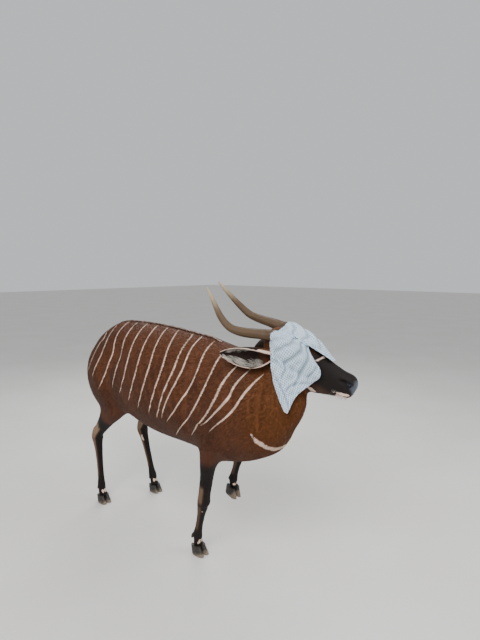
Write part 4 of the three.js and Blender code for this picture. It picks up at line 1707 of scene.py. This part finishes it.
@dataclass
class Coat:
    """Short tufts all over the skin, lying along the body."""

    skin: Piece
    seed: int = 5
    form: Form = field(init=False)
    corners: Array = field(init=False)
    owner: Array = field(init=False)
    parts: Shares = field(init=False)
    kept: Shares = field(init=False)
    normals: Array = field(init=False)
    lie: Array = field(init=False)

    def prepare(self) -> None:
        """Works out the lie of the hair and the markings, and keeps them on the skin."""
        self.form = Form(self.skin)
        points = self.form.points
        self.owner = where_nearest(to_row(points), NODES)
        self.parts = {
            node: self.form.spread((self.owner == number).astype(float), 8)
            for number, node in enumerate(NODES)
        }
        self.kept = {"cream": MARKINGS.cream(points, self.parts), **MARKINGS.bands(points, self.parts)}
        self.kept.update(MARKINGS.shades(points, self.parts))
        for ear in BOTH_EARS:
            self.mark_ear(ear)
        for key, values in self.kept.items():
            note(self.skin.data, key, values)
        self.normals = self.form.normals()
        self.lie = self.lie_of_hair()

    def mark_ear(self, ear: Ear) -> None:
        """Darkens an ear's inside and edge and leaves the pale lobe.

        Args:
            ear: the ear.
        """
        points, share = self.form.points, self.parts[ear.name]
        t = np.linspace(0, 1, 90)
        _, place = distance_to_line(points, ear.spot(t, np.zeros(90)))
        rims = [distance_to_line(points, ear.spot(t, np.full(90, side)))[0] for side in (-0.97, 0.97)]
        edge = np.minimum(*rims)
        self.kept["dark"] = np.maximum(self.kept["dark"], share * 0.85 * rise(place, 0.1, 0.3))
        self.kept["warm"] = self.kept["warm"] * (1 - share)
        lobe = (1 - rise(place, 0.2, 0.42)) * (1 - rise(edge, 10, 26))
        ragged = 1.1 * np.sin(23 * place) + 0.7 * np.sin(61 * place + 0.2 * points[:, 2])
        rim = (1 - rise(edge + ragged, 2.0, 6.5)) * rise(place, 0.05, 0.2)
        self.kept["cream"] = np.minimum(self.kept["cream"], 40 - 46 * np.maximum(lobe, rim) * share)

    def lie_of_hair(self) -> Array:
        """The way the hair lies: back from the nose and down the legs.

        Returns:
            A unit vector for each point of the skin.
        """
        points, parts = self.form.points, self.parts
        ones, places = np.ones(len(points)), to_head(points)
        turn = MARKINGS.round_trunk(points)
        back = np.stack([-ones, 0 * ones, -0.25 - 0.45 * rise(turn, 40, 120)], 1)
        over = np.stack([-ones, 0.25 * np.sign(places[:, 1]), -0.35 * rise(-places[:, 2], 20, 90)], 1)
        way = back * parts["torso"][:, None] + (over @ HEAD_TURN.T) * parts["head"][:, None]
        way += np.array([-0.75, 0.0, -0.62]) * parts["neck"][:, None]
        way += np.array([-0.1, 0.0, -1.0]) * parts["tail"][:, None]
        for leg in LEGS:
            place, _, _ = leg.along(points)
            down = unit(np.diff(np.array(leg.joints, float), axis=0))[np.clip(place.astype(int), 0, 3)]
            down = down * 0.8 + np.array([-0.25, 0, -0.6]) * (place < 1.2)[:, None]
            way += down * parts[leg.node][:, None]
        for ear in BOTH_EARS:
            root, tip = ear.spot(np.array([0.0, 1.0]), np.zeros(2))
            way += unit(tip - root) * parts[ear.name][:, None]
        way = self.form.spread(way, 14)
        return unit(way - (way * self.normals).sum(1)[:, None] * self.normals)

    def build(self, material: Material) -> None:
        """Grows the tufts.

        Args:
            material: the tufts' finish.
        """
        self.prepare()
        mesh = self.skin.data
        mesh.calc_loop_triangles()
        self.corners = read(mesh.loop_triangles, "vertices", 3, np.int32)
        tree = BVHTree.FromPolygons(to_row(self.form.points).tolist(), self.corners.tolist())
        for number, patch in enumerate(PATCHES):
            locks = self.tufts(patch, np.random.default_rng(self.seed + number), tree)
            settled(locks.build(patch.name), material)

    def tufts(self, patch: Patch, random: np.random.Generator, tree: BVHTree) -> Locks:
        """The tufts of one patch.

        Args:
            patch: the patch.
            random: where its chances come from.
            tree: the skin's triangles, ready to search.

        Returns:
            Its locks.
        """
        a, b, c = (self.form.points[self.corners[:, index]] for index in range(3))
        owners = self.owner[self.corners[:, 0]]
        weight = norms(np.cross(b - a, c - a)) / 2 * patch.covers((a + b + c) / 3, owners)
        total = patch.count
        chosen = np.searchsorted(np.cumsum(weight) / weight.sum(), random.random(total))
        first, second = np.sqrt(random.random(total)), random.random(total)
        roots = Roots(self.corners[chosen], np.stack([1 - first, first * (1 - second), first * second], 1))
        root, lie = roots.read(self.form.points), roots.read(self.lie)
        normal = unit(roots.read(self.normals))
        side = unit(np.cross(normal, lie))
        way = unit(lie + side * random.normal(0, 0.16, total)[:, None])
        way = unit(way - (way * normal).sum(1)[:, None] * normal)
        size = random.uniform(0.72, 1.25, total) * (0.75 + 0.25 * patch.short(root))
        lift = patch.lift * random.uniform(0.6, 1.5, total)
        tips = self.on_skin(tree, root + way * (patch.length * size * 0.7)[:, None])
        kept = {key: np.stack([roots.read(self.kept[key]), tips.read(self.kept[key])], 1) for key in MARKS}
        kept["shade"] = random.uniform(0.9, 1.1, total)
        return Locks(
            roots=root - normal * 0.7,
            lean=unit(way + normal * (lift * 1.9)[:, None]),
            fall=-normal * (lift * 1.25)[:, None],
            wide=side,
            length=patch.length * size,
            width=patch.width * random.uniform(0.8, 1.2, total),
            thick=patch.width * 0.26,
            kept=kept,
            chart=patch.chart(root),
        )

    def on_skin(self, tree: BVHTree, spots: Array) -> Roots:
        """The places of the skin nearest to spots.

        Args:
            tree: the skin's triangles, ready to search.
            spots: places in trunk millimetres.

        Returns:
            The places.
        """
        hits = [tree.find_nearest(Vector(spot)) for spot in to_row(spots)]
        near = self.corners[[hit[2] for hit in hits]]
        place = to_trunk(np.array([hit[0] for hit in hits]))
        a, b, c = (self.form.points[near[:, index]] for index in range(3))
        areas = [norms(np.cross(p - place, q - place)) for p, q in ((b, c), (c, a), (a, b))]
        shares = np.stack(areas, 1) + 1e-9
        return Roots(near, shares / shares.sum(1, keepdims=True))


# Longer hair
@dataclass
class Crest:
    """The low crest of hair along the back: cream in the middle and dark beside it."""

    front: float = 520.0
    rear: float = -500.0
    length: float = 34.0
    total: int = 2600

    def build(self, skin: Piece) -> Piece:
        """Sets the locks along the back line of the skin.

        Args:
            skin: the skin that they grow from.

        Returns:
            The locks.
        """
        random = np.random.default_rng(31)
        total = self.total
        tree = BVHTree.FromObject(skin, bpy.context.evaluated_depsgraph_get())
        x = random.uniform(self.rear, self.front, total)
        across = random.normal(0, 7.0, total)
        roots, normals = [], []
        for place, side in zip(x, across):
            spot = to_row((place, MIDPLANE + side, 1500))
            hit, normal, _, _ = tree.ray_cast(Vector(spot), Vector((0, 0, -1)))
            roots.append(to_trunk(np.array(hit)))
            normals.append(np.array(normal))
        roots, normals = np.array(roots), np.array(normals)
        back = unit(np.array([-1.0, 0, 0]) - normals * (normals @ np.array([-1.0, 0, 0]))[:, None])
        side = np.cross(normals, back)
        size = self.length * random.uniform(0.6, 1.15, total) * (1 - 0.5 * rise(np.abs(x - 20), 380, 520))
        lift = random.uniform(0.35, 0.75, total)
        lean = unit(back + normals * lift[:, None] + side * (across * 0.016)[:, None])
        pale = np.clip(np.abs(across) - 4.5 + random.normal(0, 1.0, total), -6, 40)
        locks = Locks(
            roots=roots - normals * 1.5,
            lean=lean,
            fall=-normals * (lift * 0.45)[:, None],
            wide=unit(side * 0.5 + normals * 0.5),
            length=size,
            width=3.2,
            thick=1.3,
            segments=3,
            kept={
                **dict.fromkeys(MARKS, 0.0),
                "cream": pale,
                "band": 0.5,
                "bandwidth": 0.001,
                "dark": 0.55 * random.uniform(0.5, 1.2, total),
                "shade": random.uniform(0.8, 1.15, total),
            },
            chart=np.stack([x, across], 1),
        )
        return locks.build("crest")


@dataclass
class TailTuft:
    """The dark tuft at the end of the tail."""

    top: float = 822.0
    bottom: float = 527.0
    place: tuple[float, float] = (-604.0, -14.0)

    def build(self) -> Piece:
        """Hangs the locks round the tail's last third.

        Returns:
            The locks.
        """
        random = np.random.default_rng(41)
        total = 1500
        height = self.top - 184 * random.random(total) ** 0.7
        angle = random.uniform(0, 2 * np.pi, total)
        out = np.stack([np.cos(angle), np.sin(angle), np.zeros(total)], 1)
        radius = np.interp(height, (640, 700, 735, 770, 900), (2, 6, 9, 8, 7))
        roots = np.array([self.place[0], self.place[1], 0.0]) + out * radius[:, None]
        roots[:, 2] = height
        reach = np.minimum((height - self.bottom) * random.uniform(0.75, 1.0, total), 190)
        reach = np.where(height > 770, random.uniform(40, 110, total), reach)
        spread = random.uniform(0.05, 0.34, total) * np.where(height > 770, 0.5, 1.0)
        lean = np.array([0, 0, -1.0]) + out * spread[:, None]
        fall = -out * (spread * random.uniform(0.5, 0.95, total))[:, None]
        wide = np.stack([-np.sin(angle), np.cos(angle), np.zeros(total)], 1)
        locks = Locks(
            roots=roots,
            lean=lean,
            fall=fall,
            wide=wide,
            length=reach,
            width=random.uniform(2.2, 5, total),
            thick=1.5,
            segments=6,
            kept={"shade": random.uniform(0.7, 1.2, total)},
            chart=np.stack([angle, height], 1),
        )
        return locks.build("tail_tuft")


@dataclass
class EarFringe:
    """Long pale hair inside an ear, along both of its edges."""

    ear: Ear
    total: int = 820

    def build(self) -> Piece:
        """Sets the locks on the inner wall of the ear.

        Returns:
            The locks.
        """
        ear, total = self.ear, self.total
        random = np.random.default_rng(51 if ear.sign > 0 else 53)
        edge = np.where(random.random(total) < 0.5, 1.0, -1.0)
        t = random.uniform(0.1, 0.86, total)
        t = t + 0.05 * np.sin(2 * np.pi * (2.7 * t + np.where(edge > 0, 0.1, 0.55)))
        share = edge * (0.98 - 0.55 * random.random(total) ** 1.6)
        wall = ear.spot(t, share, -1.8)
        inward = unit(ear.spot(t, share, -6.0) - wall)
        ahead = unit(ear.spot(np.minimum(t + 0.04, 1.0), share, -1.8) - wall)
        outer = unit(ear.spot(t, share + 0.04 * edge, -1.8) - wall)
        lean = unit(ahead * 0.8 + inward * random.uniform(0.25, 0.55, total)[:, None] - outer * 0.25)
        size = random.uniform(14, 50, total) * (1 - 0.55 * rise(t, 0.55, 0.95))
        locks = Locks(
            roots=wall,
            lean=lean,
            fall=-inward * random.uniform(0.05, 0.25, total)[:, None],
            wide=unit(np.cross(lean, inward)),
            length=size,
            width=random.uniform(1.6, 3.2, total),
            thick=0.8,
            segments=4,
            kept={"shade": random.uniform(0.7, 1.15, total)},
            chart=np.stack([t, share], 1),
        )
        return locks.build(f"ear_fringe_{ear.hand}")


@dataclass
class Whiskers:
    """Fine bristles on the chin and lips."""

    def build(self, skin: Piece) -> Piece:
        """Sets the bristles on the skin round the mouth.

        Args:
            skin: the skin that they grow from.

        Returns:
            The bristles.
        """
        random = np.random.default_rng(61)
        total = 150
        tree = BVHTree.FromObject(skin, bpy.context.evaluated_depsgraph_get())
        x = random.uniform(290, 372, total)
        side = random.uniform(-1, 1, total)
        below = random.random(total) < 0.65
        roots, normals = [], []
        for place, across, low in zip(x, side, below):
            height = -118 + (place - 290) * 0.25 if low else -88 + (place - 290) * 0.3
            aim = from_head([(place, across * (30 if low else 46), height)])[0]
            hit, normal, _, _ = tree.find_nearest(Vector(to_row(aim)))
            roots.append(to_trunk(np.array(hit)))
            normals.append(np.array(normal))
        roots, normals = np.array(roots), np.array(normals)
        back = unit(np.array([-0.4, 0, -0.5]) @ HEAD_TURN.T)
        lean = unit(normals + back * 0.7 + random.normal(0, 0.2, (total, 3)))
        locks = Locks(
            roots=roots - normals,
            lean=lean,
            fall=np.tile(np.array([0, 0, -0.25]), (total, 1)),
            wide=unit(np.cross(lean, normals + 0.01)),
            length=random.uniform(9, 20, total),
            width=0.7,
            thick=0.4,
            segments=3,
            kept={"shade": random.uniform(0.8, 1.1, total)},
            chart=np.stack([x, side], 1),
        )
        return locks.build("whiskers")


# Horns, hooves and eyes
@dataclass
class Horn:
    """A horn with one loose turn, a keel and low rings near its root."""

    name: str
    sign: float
    line: tuple = (
        (18, 34, -48), (-24, 42, -28), (-80, 54, -60), (-140, 74, -96), (-205, 92, -138),
        (-265, 98, -163), (-330, 92, -157), (-390, 76, -138), (-445, 62, -118), (-484, 53, -106),
    )
    ring_step: float = 13.0

    def build(self) -> Piece:
        """Makes the horn finer than its solid and raises its rings.

        Returns:
            The horn.
        """
        node = f"horn_{self.name}"
        piece = renamed(solid_copy(node), f"{node}_fine")
        rounded(piece, 3)
        refit(piece, [node])
        form = Form(piece)
        line = from_head(curve_through(np.array(self.line) * (1, self.sign, 1), 80))
        _, share = distance_to_line(form.points, line)
        length = norms(np.diff(line, axis=0)).sum()
        index = np.clip((share * 79).astype(int), 0, 78)
        way = unit(line[index + 1] - line[index])
        off = form.points - line[index]
        off -= (off * way).sum(1)[:, None] * way
        upward = unit(np.cross(way, np.array([0.3, 1.0, 0.2])))
        sideways = np.cross(way, upward)
        around = np.arctan2((off * upward).sum(1), (off * sideways).sum(1))
        along = share * length + 6 * np.sin(around + 1.0)
        fade = (1 - rise(share, 0.25, 0.62)) * rise(share, 0.0, 0.05)
        rings = 0.55 * fade * np.sin(2 * np.pi * along / self.ring_step + 1.4 * np.sin(along / 31.0))
        furrows = 0.5 * np.sin(7 * around + 9 * share) * (1 - rise(share, 0.5, 0.9))
        form.lift((rings + furrows) * (1 - rise(share, 0.9, 1.0)) - 0.4)
        form.write()
        note(piece.data, "along", share)
        note(piece.data, "around", around)
        return piece


def refit(piece: Piece, nodes: Sequence[str]) -> None:
    """Brings a subdivided copy back to the size of the solids that it stands for.

    Args:
        piece: the copy.
        nodes: the solids.
    """
    boxes = [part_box(node) for node in nodes]
    low = np.min([np.array(box[0]) for box in boxes], axis=0)
    high = np.max([np.array(box[1]) for box in boxes], axis=0)
    points = points_of(piece.data)
    own_low, own_high = points.min(0), points.max(0)
    share = (points - own_low) / np.maximum(own_high - own_low, 1e-9)
    moved(piece.data, low + share * (high - low))


@dataclass
class Hoof:
    """The two claws and two dewclaws of a foot."""

    leg: Leg

    def nodes(self) -> list[str]:
        """The solids that the hoof stands for."""
        return [f"{self.leg.hoof}_{part}_{side}" for part in ("claw", "dewclaw") for side in SIDES]

    def build(self) -> Piece:
        """Makes finer claws from the solids, with a worn edge at the sole.

        Returns:
            The hoof.
        """
        pieces = []
        fetlock = to_row(self.leg.joints[3])
        for node in self.nodes():
            piece = solid_copy(node)
            dew = "dewclaw" in node
            rim = 0.002 if dew else 0.004
            edges = {"limit_method": "ANGLE", "angle_limit": math.radians(50)}
            finished_with(piece, "BEVEL", width=rim, segments=2, **edges)
            rounded(piece, 2)
            refit(piece, [node])
            if dew:
                points = points_of(piece.data)
                middle = points.mean(0)
                towards = unit(fetlock - middle)
                moved(piece.data, middle + (points - middle) * 0.92 + towards * 0.007)
            pieces.append(piece)
        piece = joined(pieces, self.leg.hoof)
        top = np.array(self.leg.joints[4], float)
        top[2] = 0 if top[2] < 60 else top[2] - 50
        ahead, _, above = (to_trunk(points_of(piece.data)) - top).T
        note(piece.data, "height", above - (0.34 * ahead if top[2] else 0.0) - 0.25 * ahead)
        return piece


@dataclass
class Eye:
    """An eyeball with a raised cornea and a level pupil."""

    name: str
    sign: float

    def build(self) -> Piece:
        """Makes the eyeball and notes where its iris is.

        Returns:
            The eyeball.
        """
        centre = from_head(EYE * (1, self.sign, 1))
        ball = {"segments": 64, "ring_count": 40, "radius": EYE_RADIUS * MM}
        select_only()
        bpy.ops.mesh.primitive_uv_sphere_add(location=to_row(centre), **ball)
        piece = placed(f"eyeball_{self.name}")
        points = to_trunk(points_of(piece.data))
        look, level, above = eye_ways(self.sign)
        off = (points - centre) @ HEAD_TURN
        out, across, high = off @ look, off @ level, off @ above
        ring = np.sqrt(across**2 + high**2)
        cornea = (out > 0) * (1 - rise(ring, 7, 13.5)) * 1.6
        points = points + unit(points - centre) * cornea[:, None]
        moved(piece.data, to_row(points))
        note(piece.data, "across", across)
        note(piece.data, "above", high)
        bpy.ops.object.shade_smooth()
        return piece


# Cloth
@dataclass(frozen=True)
class Band:
    """One row of the cloth round the head: its angle behind and in front, its ends, its lift in front."""

    behind: float
    before: float
    rear: float
    front: float
    lift: float


@dataclass
class HeadCloth:
    """One sheet of light cotton over brow and cheeks: a flap over the eye, a full lobe, a hanging corner."""

    stations: tuple = (-92, -62, -10, 50, 110, 160, 204)
    middle_z: tuple = (-70, -86, -100, -106, -102, -92, -80)
    half_side: tuple = (62, 92, 99, 98, 91, 82, 76)
    half_up: tuple = (62, 98, 126, 142, 132, 106, 88)
    half_down: tuple = (62, 100, 128, 138, 126, 104, 78)
    left_rows: tuple = (
        ((84, 97, -230), (96, 97, -230)),
        ((46, 98, -172), (130, 94, -166)),
        ((4, 98, -122), (160, 88, -120)),
    )
    bands: tuple = (
        Band(-12, -12, -24, 172, 0),
        Band(12, 12, -46, 188, 0),
        Band(36, 36, -58, 202, 1),
        Band(62, 62, -62, 212, 2),
        Band(84, 84, -64, 216, 3),
        Band(99, 101, -66, 204, 5),
        Band(110, 114, -66, 138, 9),
        Band(116, 123, -66, 86, 12),
        Band(121, 126, -66, 76, 9),
        Band(126, 119, -67, 78, 2),
        Band(133, 129, -69, 98, 1),
        Band(140, 138, -73, 148, 2),
        Band(148, 147, -79, 186, 4),
        Band(160, 159, -85, 208, 7),
        Band(174, 174, -87, 214, 8),
        Band(188, 188, -78, 209, 7),
    )
    right_rows: tuple = (
        ((-22, -108, -134), (202, -94, -124)),
        ((10, -122, -166), (194, -112, -150)),
        ((46, -134, -196), (189, -129, -172)),
        ((84, -146, -223), (189, -145, -195)),
        ((124, -159, -243), (194, -160, -218)),
        ((162, -174, -256), (202, -175, -240)),
        ((194, -188, -262), (209, -190, -257)),
    )
    rows: int = 184
    columns: int = 100
    thickness: float = 0.9
    air: float = 2.6
    lids: float = 24.5  # how far the closed lids stand out round the middle of the eye
    pitch: tuple[float, float] = (24.0, 270.0)  # from row to row, and from hem to hem
    flat: tuple[float, float] = field(init=False)

    def over(self, x: float, degrees: float, lift: float) -> Array:
        """A place on the drape round the head.

        Args:
            x: how far ahead, in head millimetres.
            degrees: round the head, from its left side over the brow.
            lift: how far the cloth stands off.

        Returns:
            The place, in head millimetres.
        """
        angle = math.radians(degrees)
        up = np.interp(x, self.stations, self.half_up if math.sin(angle) > 0 else self.half_down)
        side = np.interp(x, self.stations, self.half_side)
        middle = np.interp(x, self.stations, self.middle_z)
        inset = lift - 4.0
        return np.array([x, (side + inset) * math.cos(angle), middle + (up + inset) * math.sin(angle)])

    @staticmethod
    def straight(ends: tuple, steps: Array) -> list[Array]:
        """Straight rows between their ends, in even steps."""
        return [np.array(rear) + (np.array(front) - rear) * steps for rear, front in ends]

    def net(self) -> Array:
        """The sheet's own threads.

        Returns:
            Rows of places, from the left hem over the brow to the right corner.
        """
        steps = np.linspace(0, 1, 6)[:, None]
        rows = self.straight(self.left_rows, steps)
        for band in self.bands:
            row = []
            for step in steps[:, 0]:
                ahead = step**1.6
                x = band.rear + (band.front - band.rear) * step
                degrees = band.behind + (band.before - band.behind) * ahead
                row.append(self.over(x, degrees, band.lift * ahead))
            rows.append(np.array(row))
        rows += self.straight(self.right_rows, steps)
        return np.array(rows, float)

    def build(self, obstacles: list[Piece]) -> Piece:
        """Lays the sheet over the head, clear of what it covers.

        Args:
            obstacles: the pieces that it must not touch.

        Returns:
            The sheet.
        """
        net = self.net()
        lengthwise = np.stack([curve_through(line, self.rows) for line in net.swapaxes(0, 1)], 1)
        places = np.stack([curve_through(row, self.columns) for row in lengthwise])
        bpy.ops.object.select_all(action="DESELECT")
        cells = {"x_subdivisions": self.columns - 1, "y_subdivisions": self.rows - 1}
        bpy.ops.mesh.primitive_grid_add(size=1, **cells)
        piece = renamed(bpy.context.object, "draped_cloth")
        flat = points_of(piece.data)
        column = np.rint((flat[:, 0] + 0.5) * (self.columns - 1)).astype(int)
        row = np.rint((flat[:, 1] + 0.5) * (self.rows - 1)).astype(int)
        form = Form(piece)
        form.points = from_head(places[row, column])
        form.smooth(3, 0.7)
        gap = self.clear(form, obstacles, 3)
        outward = form.normals()
        if (outward * (form.points - FOREHEAD)).sum() < 0:
            outward = -outward
        spot = np.stack([row / (self.rows - 1) * (len(net) - 1), column / (self.columns - 1)], 1)
        folds = form.spread(np.maximum(self.wrinkles(spot), self.air - gap), 2)
        form.points += outward * folds[:, None]
        self.clear(form, obstacles, 3)
        form.write()
        # how far each point lies above or below the folds round it, for the painted shade in the creases
        note(piece.data, "fold_shade", (folds - form.spread(folds, 60)) / 4.0)
        self.lay_flat(piece, form, row, column)
        select_only(piece)
        finished_with(piece, "SOLIDIFY", thickness=self.thickness * MM, offset=0.0)
        bpy.ops.object.shade_smooth()
        return piece

    def wrinkles(self, spot: Array) -> Array:
        """How far folds raise the sheet.

        Args:
            spot: each point's row in the net, and its share of the way from the rear hem to the front.

        Returns:
            Millimetres, a point.
        """
        folds = (
            (((12, 1.0), (14, 0.80), (16, 0.72), (18, 0.73), (20, 0.74), (21.5, 0.80)), 7.0, 7.5),
            (((11, 0.95), (13, 0.72), (15, 0.56), (17, 0.47), (19, 0.40), (21.5, 0.30)), 7.0, 6.5),
            (((11, 0.72), (13, 0.48), (15, 0.33), (17.5, 0.22), (20, 0.14)), 8.0, 5.0),
            (((19.2, 0.30), (19.0, 0.15), (19.4, 0.0)), 5.0, 4.0),
            (((18.6, 1.0), (19.6, 0.82), (21.0, 0.62), (23.0, 0.45)), 6.0, 5.5),
            (((20.5, 0.05), (21.5, 0.28), (23.0, 0.62), (24.0, 0.9)), 7.0, 5.0),
            (((14.5, 0.97), (16, 0.88), (17.5, 0.86), (18.8, 0.92)), 5.0, 4.5),
            (((15, 0.82), (16.4, 0.80), (17.6, 0.78)), 5.0, 3.0),
            (((4.5, 0.10), (7, 0.32), (9, 0.55), (11, 0.85)), 7.0, 4.5),
            (((6.5, 0.02), (8.5, 0.20), (11, 0.42), (12.5, 0.62)), 7.0, 4.5),
            (((7, 0.55), (8, 0.72), (9.5, 0.90)), 5.0, 3.5),
            (((3, 0.20), (5, 0.42), (7, 0.60), (8, 0.85)), 7.0, 4.0),
            (((1.0, 0.30), (3, 0.45), (5, 0.75), (6, 0.95)), 7.0, 5.0),
            (((0.5, 0.70), (2.5, 0.70), (4, 0.80)), 7.0, 5.0),
            (((9.6, 0.12), (12.5, 0.10), (15.5, 0.05)), 6.0, 3.5),
        )
        sized = spot * self.pitch
        amount = np.zeros(len(spot))
        for corners, width, depth in folds:
            away, share = distance_to_line(sized, curve_through(np.array(corners) * self.pitch, 24))
            taper = np.sin(np.pi * np.clip(share, 0.04, 0.98)) ** 0.5
            crease = -np.exp(-((away / width) ** 2) ** 0.8)
            amount += depth * taper * (crease + 0.55 * bell(away, 2.4 * width, 1.5 * width))
        amount = amount * 1.35
        for middle, height in (((14.6, 0.76), 8.0), ((4.4, 0.72), 7.0)):  # the eyes under the cloth
            off = norms((sized - np.array(middle) * self.pitch) / np.array((60.0, 46.0)))
            amount = amount + height * bell(off, 0.0, 1.0)
        r, v = sized.T
        bent = 0.06 * r + 0.9 * np.sin(0.021 * v + 0.013 * r)
        amount += 1.3 * np.sin(bent * 3.1 + 0.05 * v) * np.sin(0.033 * v - 0.9 * np.sin(0.02 * r))
        amount += 0.7 * np.sin(0.21 * r + 0.11 * v + 2.0 * np.sin(0.03 * v)) * np.sin(0.05 * r + 1.0)
        edge = rise(np.abs(spot[:, 1] - 0.5), 0.36, 0.5)
        amount += 2.4 * edge * np.sin(0.11 * r + 1.3 * np.sin(0.05 * r))
        return amount

    def clear(self, form: Form, obstacles: list[Piece], turns: int) -> Array:
        """Moves the sheet off whatever it would touch, and eases it where it has moved.

        Args:
            form: the sheet's points.
            obstacles: the pieces that it must not touch.
            turns: how often it is moved and eased.

        Returns:
            How far each point stands off, in millimetres, 40 at most.
        """
        graph = bpy.context.evaluated_depsgraph_get()
        trees = [BVHTree.FromObject(piece, graph) for piece in obstacles]
        eyes = [from_head(EYE * (1, sign, 1)) for sign in SIDES.values()]
        middles = [Vector(to_row(eye)) for eye in eyes]
        close = 1.15 * self.lids * MM
        touched = np.zeros(len(form.points))
        for turn in range(turns):
            points = to_row(form.points)
            gap = np.full(len(points), 40.0)
            for tree in trees:
                for index, point in enumerate(points):
                    spot, normal, _, distance = tree.find_nearest(Vector(point), 0.04)
                    if spot is None or min((spot - middle).length for middle in middles) < close:
                        continue
                    inside = (Vector(point) - spot).dot(normal) < 0
                    away = -distance / MM if inside else distance / MM
                    if away < self.air:
                        points[index] = np.array(spot + normal * self.air * MM)
                        touched[index] = 1.0
                    gap[index] = min(gap[index], max(away, self.air))
            form.points = to_trunk(points)
            for eye in eyes:
                off = form.points - eye
                away = norms(off)
                near = away < self.lids + self.air
                form.points[near] = eye + off[near] * ((self.lids + self.air) / away[near])[:, None]
                gap = np.minimum(gap, np.maximum(away - self.lids, self.air))
            if turn < turns - 1:
                form.smooth(2, np.clip(form.spread(touched, 3) * 2.0, 0, 1))
        return gap

    def lay_flat(self, piece: Piece, form: Form, row: Array, column: Array) -> None:
        """Gives the cloth the map of its flat cut, so that its check follows its threads.

        Args:
            piece: the cloth.
            form: its points.
            row: each point's row in the sheet.
            column: each point's column.
        """
        grid = np.empty((self.rows, self.columns, 3))
        grid[row, column] = form.points * MM
        widths = np.linalg.norm(np.diff(grid, axis=1), axis=2)
        lengths = np.linalg.norm(np.diff(grid, axis=0), axis=2)
        across = np.concatenate([np.zeros((self.rows, 1)), np.cumsum(widths, 1)], 1)
        down = np.concatenate([[0.0], np.cumsum(lengths.mean(1))])
        self.flat = (float(across[:, -1].max()), float(down[-1]))
        mesh = piece.data
        loops = read(mesh.loops, "vertex_index", 1, np.int32).ravel()
        shifted = across - across[:, -1:] * 0.62
        flat = np.stack([shifted[row, column], down[row]], 1)[loops]
        for layer in list(mesh.uv_layers):
            mesh.uv_layers.remove(layer)
        mesh.uv_layers.new(name="Flat").data.foreach_set("uv", flat.astype(np.float32).ravel())
        rim = np.minimum(across, across[:, -1:] - across)
        rim = np.minimum(rim, np.minimum(down, down[-1] - down)[:, None])
        note(mesh, "hem", rim[row, column] / MM)

    @staticmethod
    def area(piece: Piece) -> float:
        """The sheet's area on one side, in square metres."""
        return float(read(piece.data.polygons, "area", 1).sum()) / 2


# Studio
@dataclass
class Studio:
    """The floor, the light and the camera."""

    camera_place: Point = (1.967, -1.798, 1.55)
    camera_ahead: tuple[float, float] = (-0.669, 0.743)
    pitch: float = 6.17
    lens: float = 27.06

    def build(self) -> None:
        """Sets up the studio."""
        bpy.ops.object.select_all(action="DESELECT")
        bpy.ops.mesh.primitive_plane_add(size=60)
        floor = renamed(bpy.context.object, "studio_floor")
        floor.data.materials.append(FloorFinish().material())
        world = bpy.data.worlds.new("studio")
        world.use_nodes = True
        world.node_tree.nodes["Background"].inputs[0].default_value = (0.86, 0.88, 0.90, 1)
        world.node_tree.nodes["Background"].inputs[1].default_value = 0.75
        bpy.context.scene.world = world
        self.lamp("key", (1.6, -2.6, 3.6), 2.4, 170)
        self.lamp("fill", (3.2, 1.8, 2.6), 2.4, 60)
        self.lamp("rim", (-2.6, 2.2, 3.4), 2.2, 90)
        self.camera()

    @staticmethod
    def lamp(name: str, place: Point, size: float, power: float) -> None:
        """A soft square lamp that looks at the animal.

        Args:
            name: its name.
            place: where it stands, in metres.
            size: the length of its edge, in metres.
            power: its power, in watts.
        """
        lamp = bpy.data.lights.new(name, "AREA")
        lamp.shape = "SQUARE"
        lamp.size = size
        lamp.energy = power
        holder = bpy.data.objects.new(name, lamp)
        holder.location = place
        holder.rotation_euler = (Vector((0, 0, 0.85)) - Vector(place)).to_track_quat("-Z", "Y").to_euler()
        bpy.context.scene.collection.objects.link(holder)

    def camera(self) -> None:
        """The camera at the photograph's angle."""
        ahead = Vector((*self.camera_ahead, 0)).normalized()
        pitch = math.radians(self.pitch)
        look = ahead * math.cos(pitch) + Vector((0, 0, -math.sin(pitch)))
        eye = bpy.data.cameras.new("photo_view")
        eye.lens = self.lens
        eye.sensor_width = 36
        eye.sensor_fit = "AUTO"
        holder = bpy.data.objects.new("photo_view", eye)
        holder.location = self.camera_place
        holder.rotation_euler = look.to_track_quat("-Z", "Y").to_euler()
        bpy.context.scene.collection.objects.link(holder)
        bpy.context.scene.camera = holder


def main() -> None:
    """Builds the animal piece by piece."""
    logging.basicConfig(level=logging.INFO, format="%(name)s %(message)s")
    bpy.ops.object.select_all(action="DESELECT")
    Studio().build()
    skin = Skin().build()
    coat = CoatFinish()
    tufts = coat.material(Hair.TUFT)
    Coat(skin).build(tufts)
    settled(skin, coat.material(Hair.SKIN), FLESH + EARS)
    settled(Crest().build(skin), tufts)
    settled(TailTuft().build(), LockFinish("tail_hair", "20130d", "17100d").material())
    fringe = LockFinish("ear_hair", "8f857a", "efe8dd").material()
    for ear in BOTH_EARS:
        settled(EarFringe(ear).build(), fringe)
    settled(Whiskers().build(skin), LockFinish("whisker", "8a8076", "d8d2c8").material())
    horn = HornFinish().material()
    horns = [
        settled(Horn(name, sign).build(), horn, [f"horn_{name}"]) for name, sign in SIDES.items()
    ]
    eye = EyeFinish().material()
    for name, sign in SIDES.items():
        settled(Eye(name, sign).build(), eye, [f"eye_{name}"])
    hoof = HoofFinish().material()
    for leg in LEGS:
        one = Hoof(leg)
        settled(one.build(), hoof, one.nodes())
    sheet = HeadCloth()
    cloth = settled(sheet.build([skin, *horns]), ClothFinish().material(), ["head_cloth"])
    area = HeadCloth.area(cloth)
    log.info("cloth area %.4f of %.3f by %.3f", area, *sheet.flat)


if __name__ == "__main__":
    main()
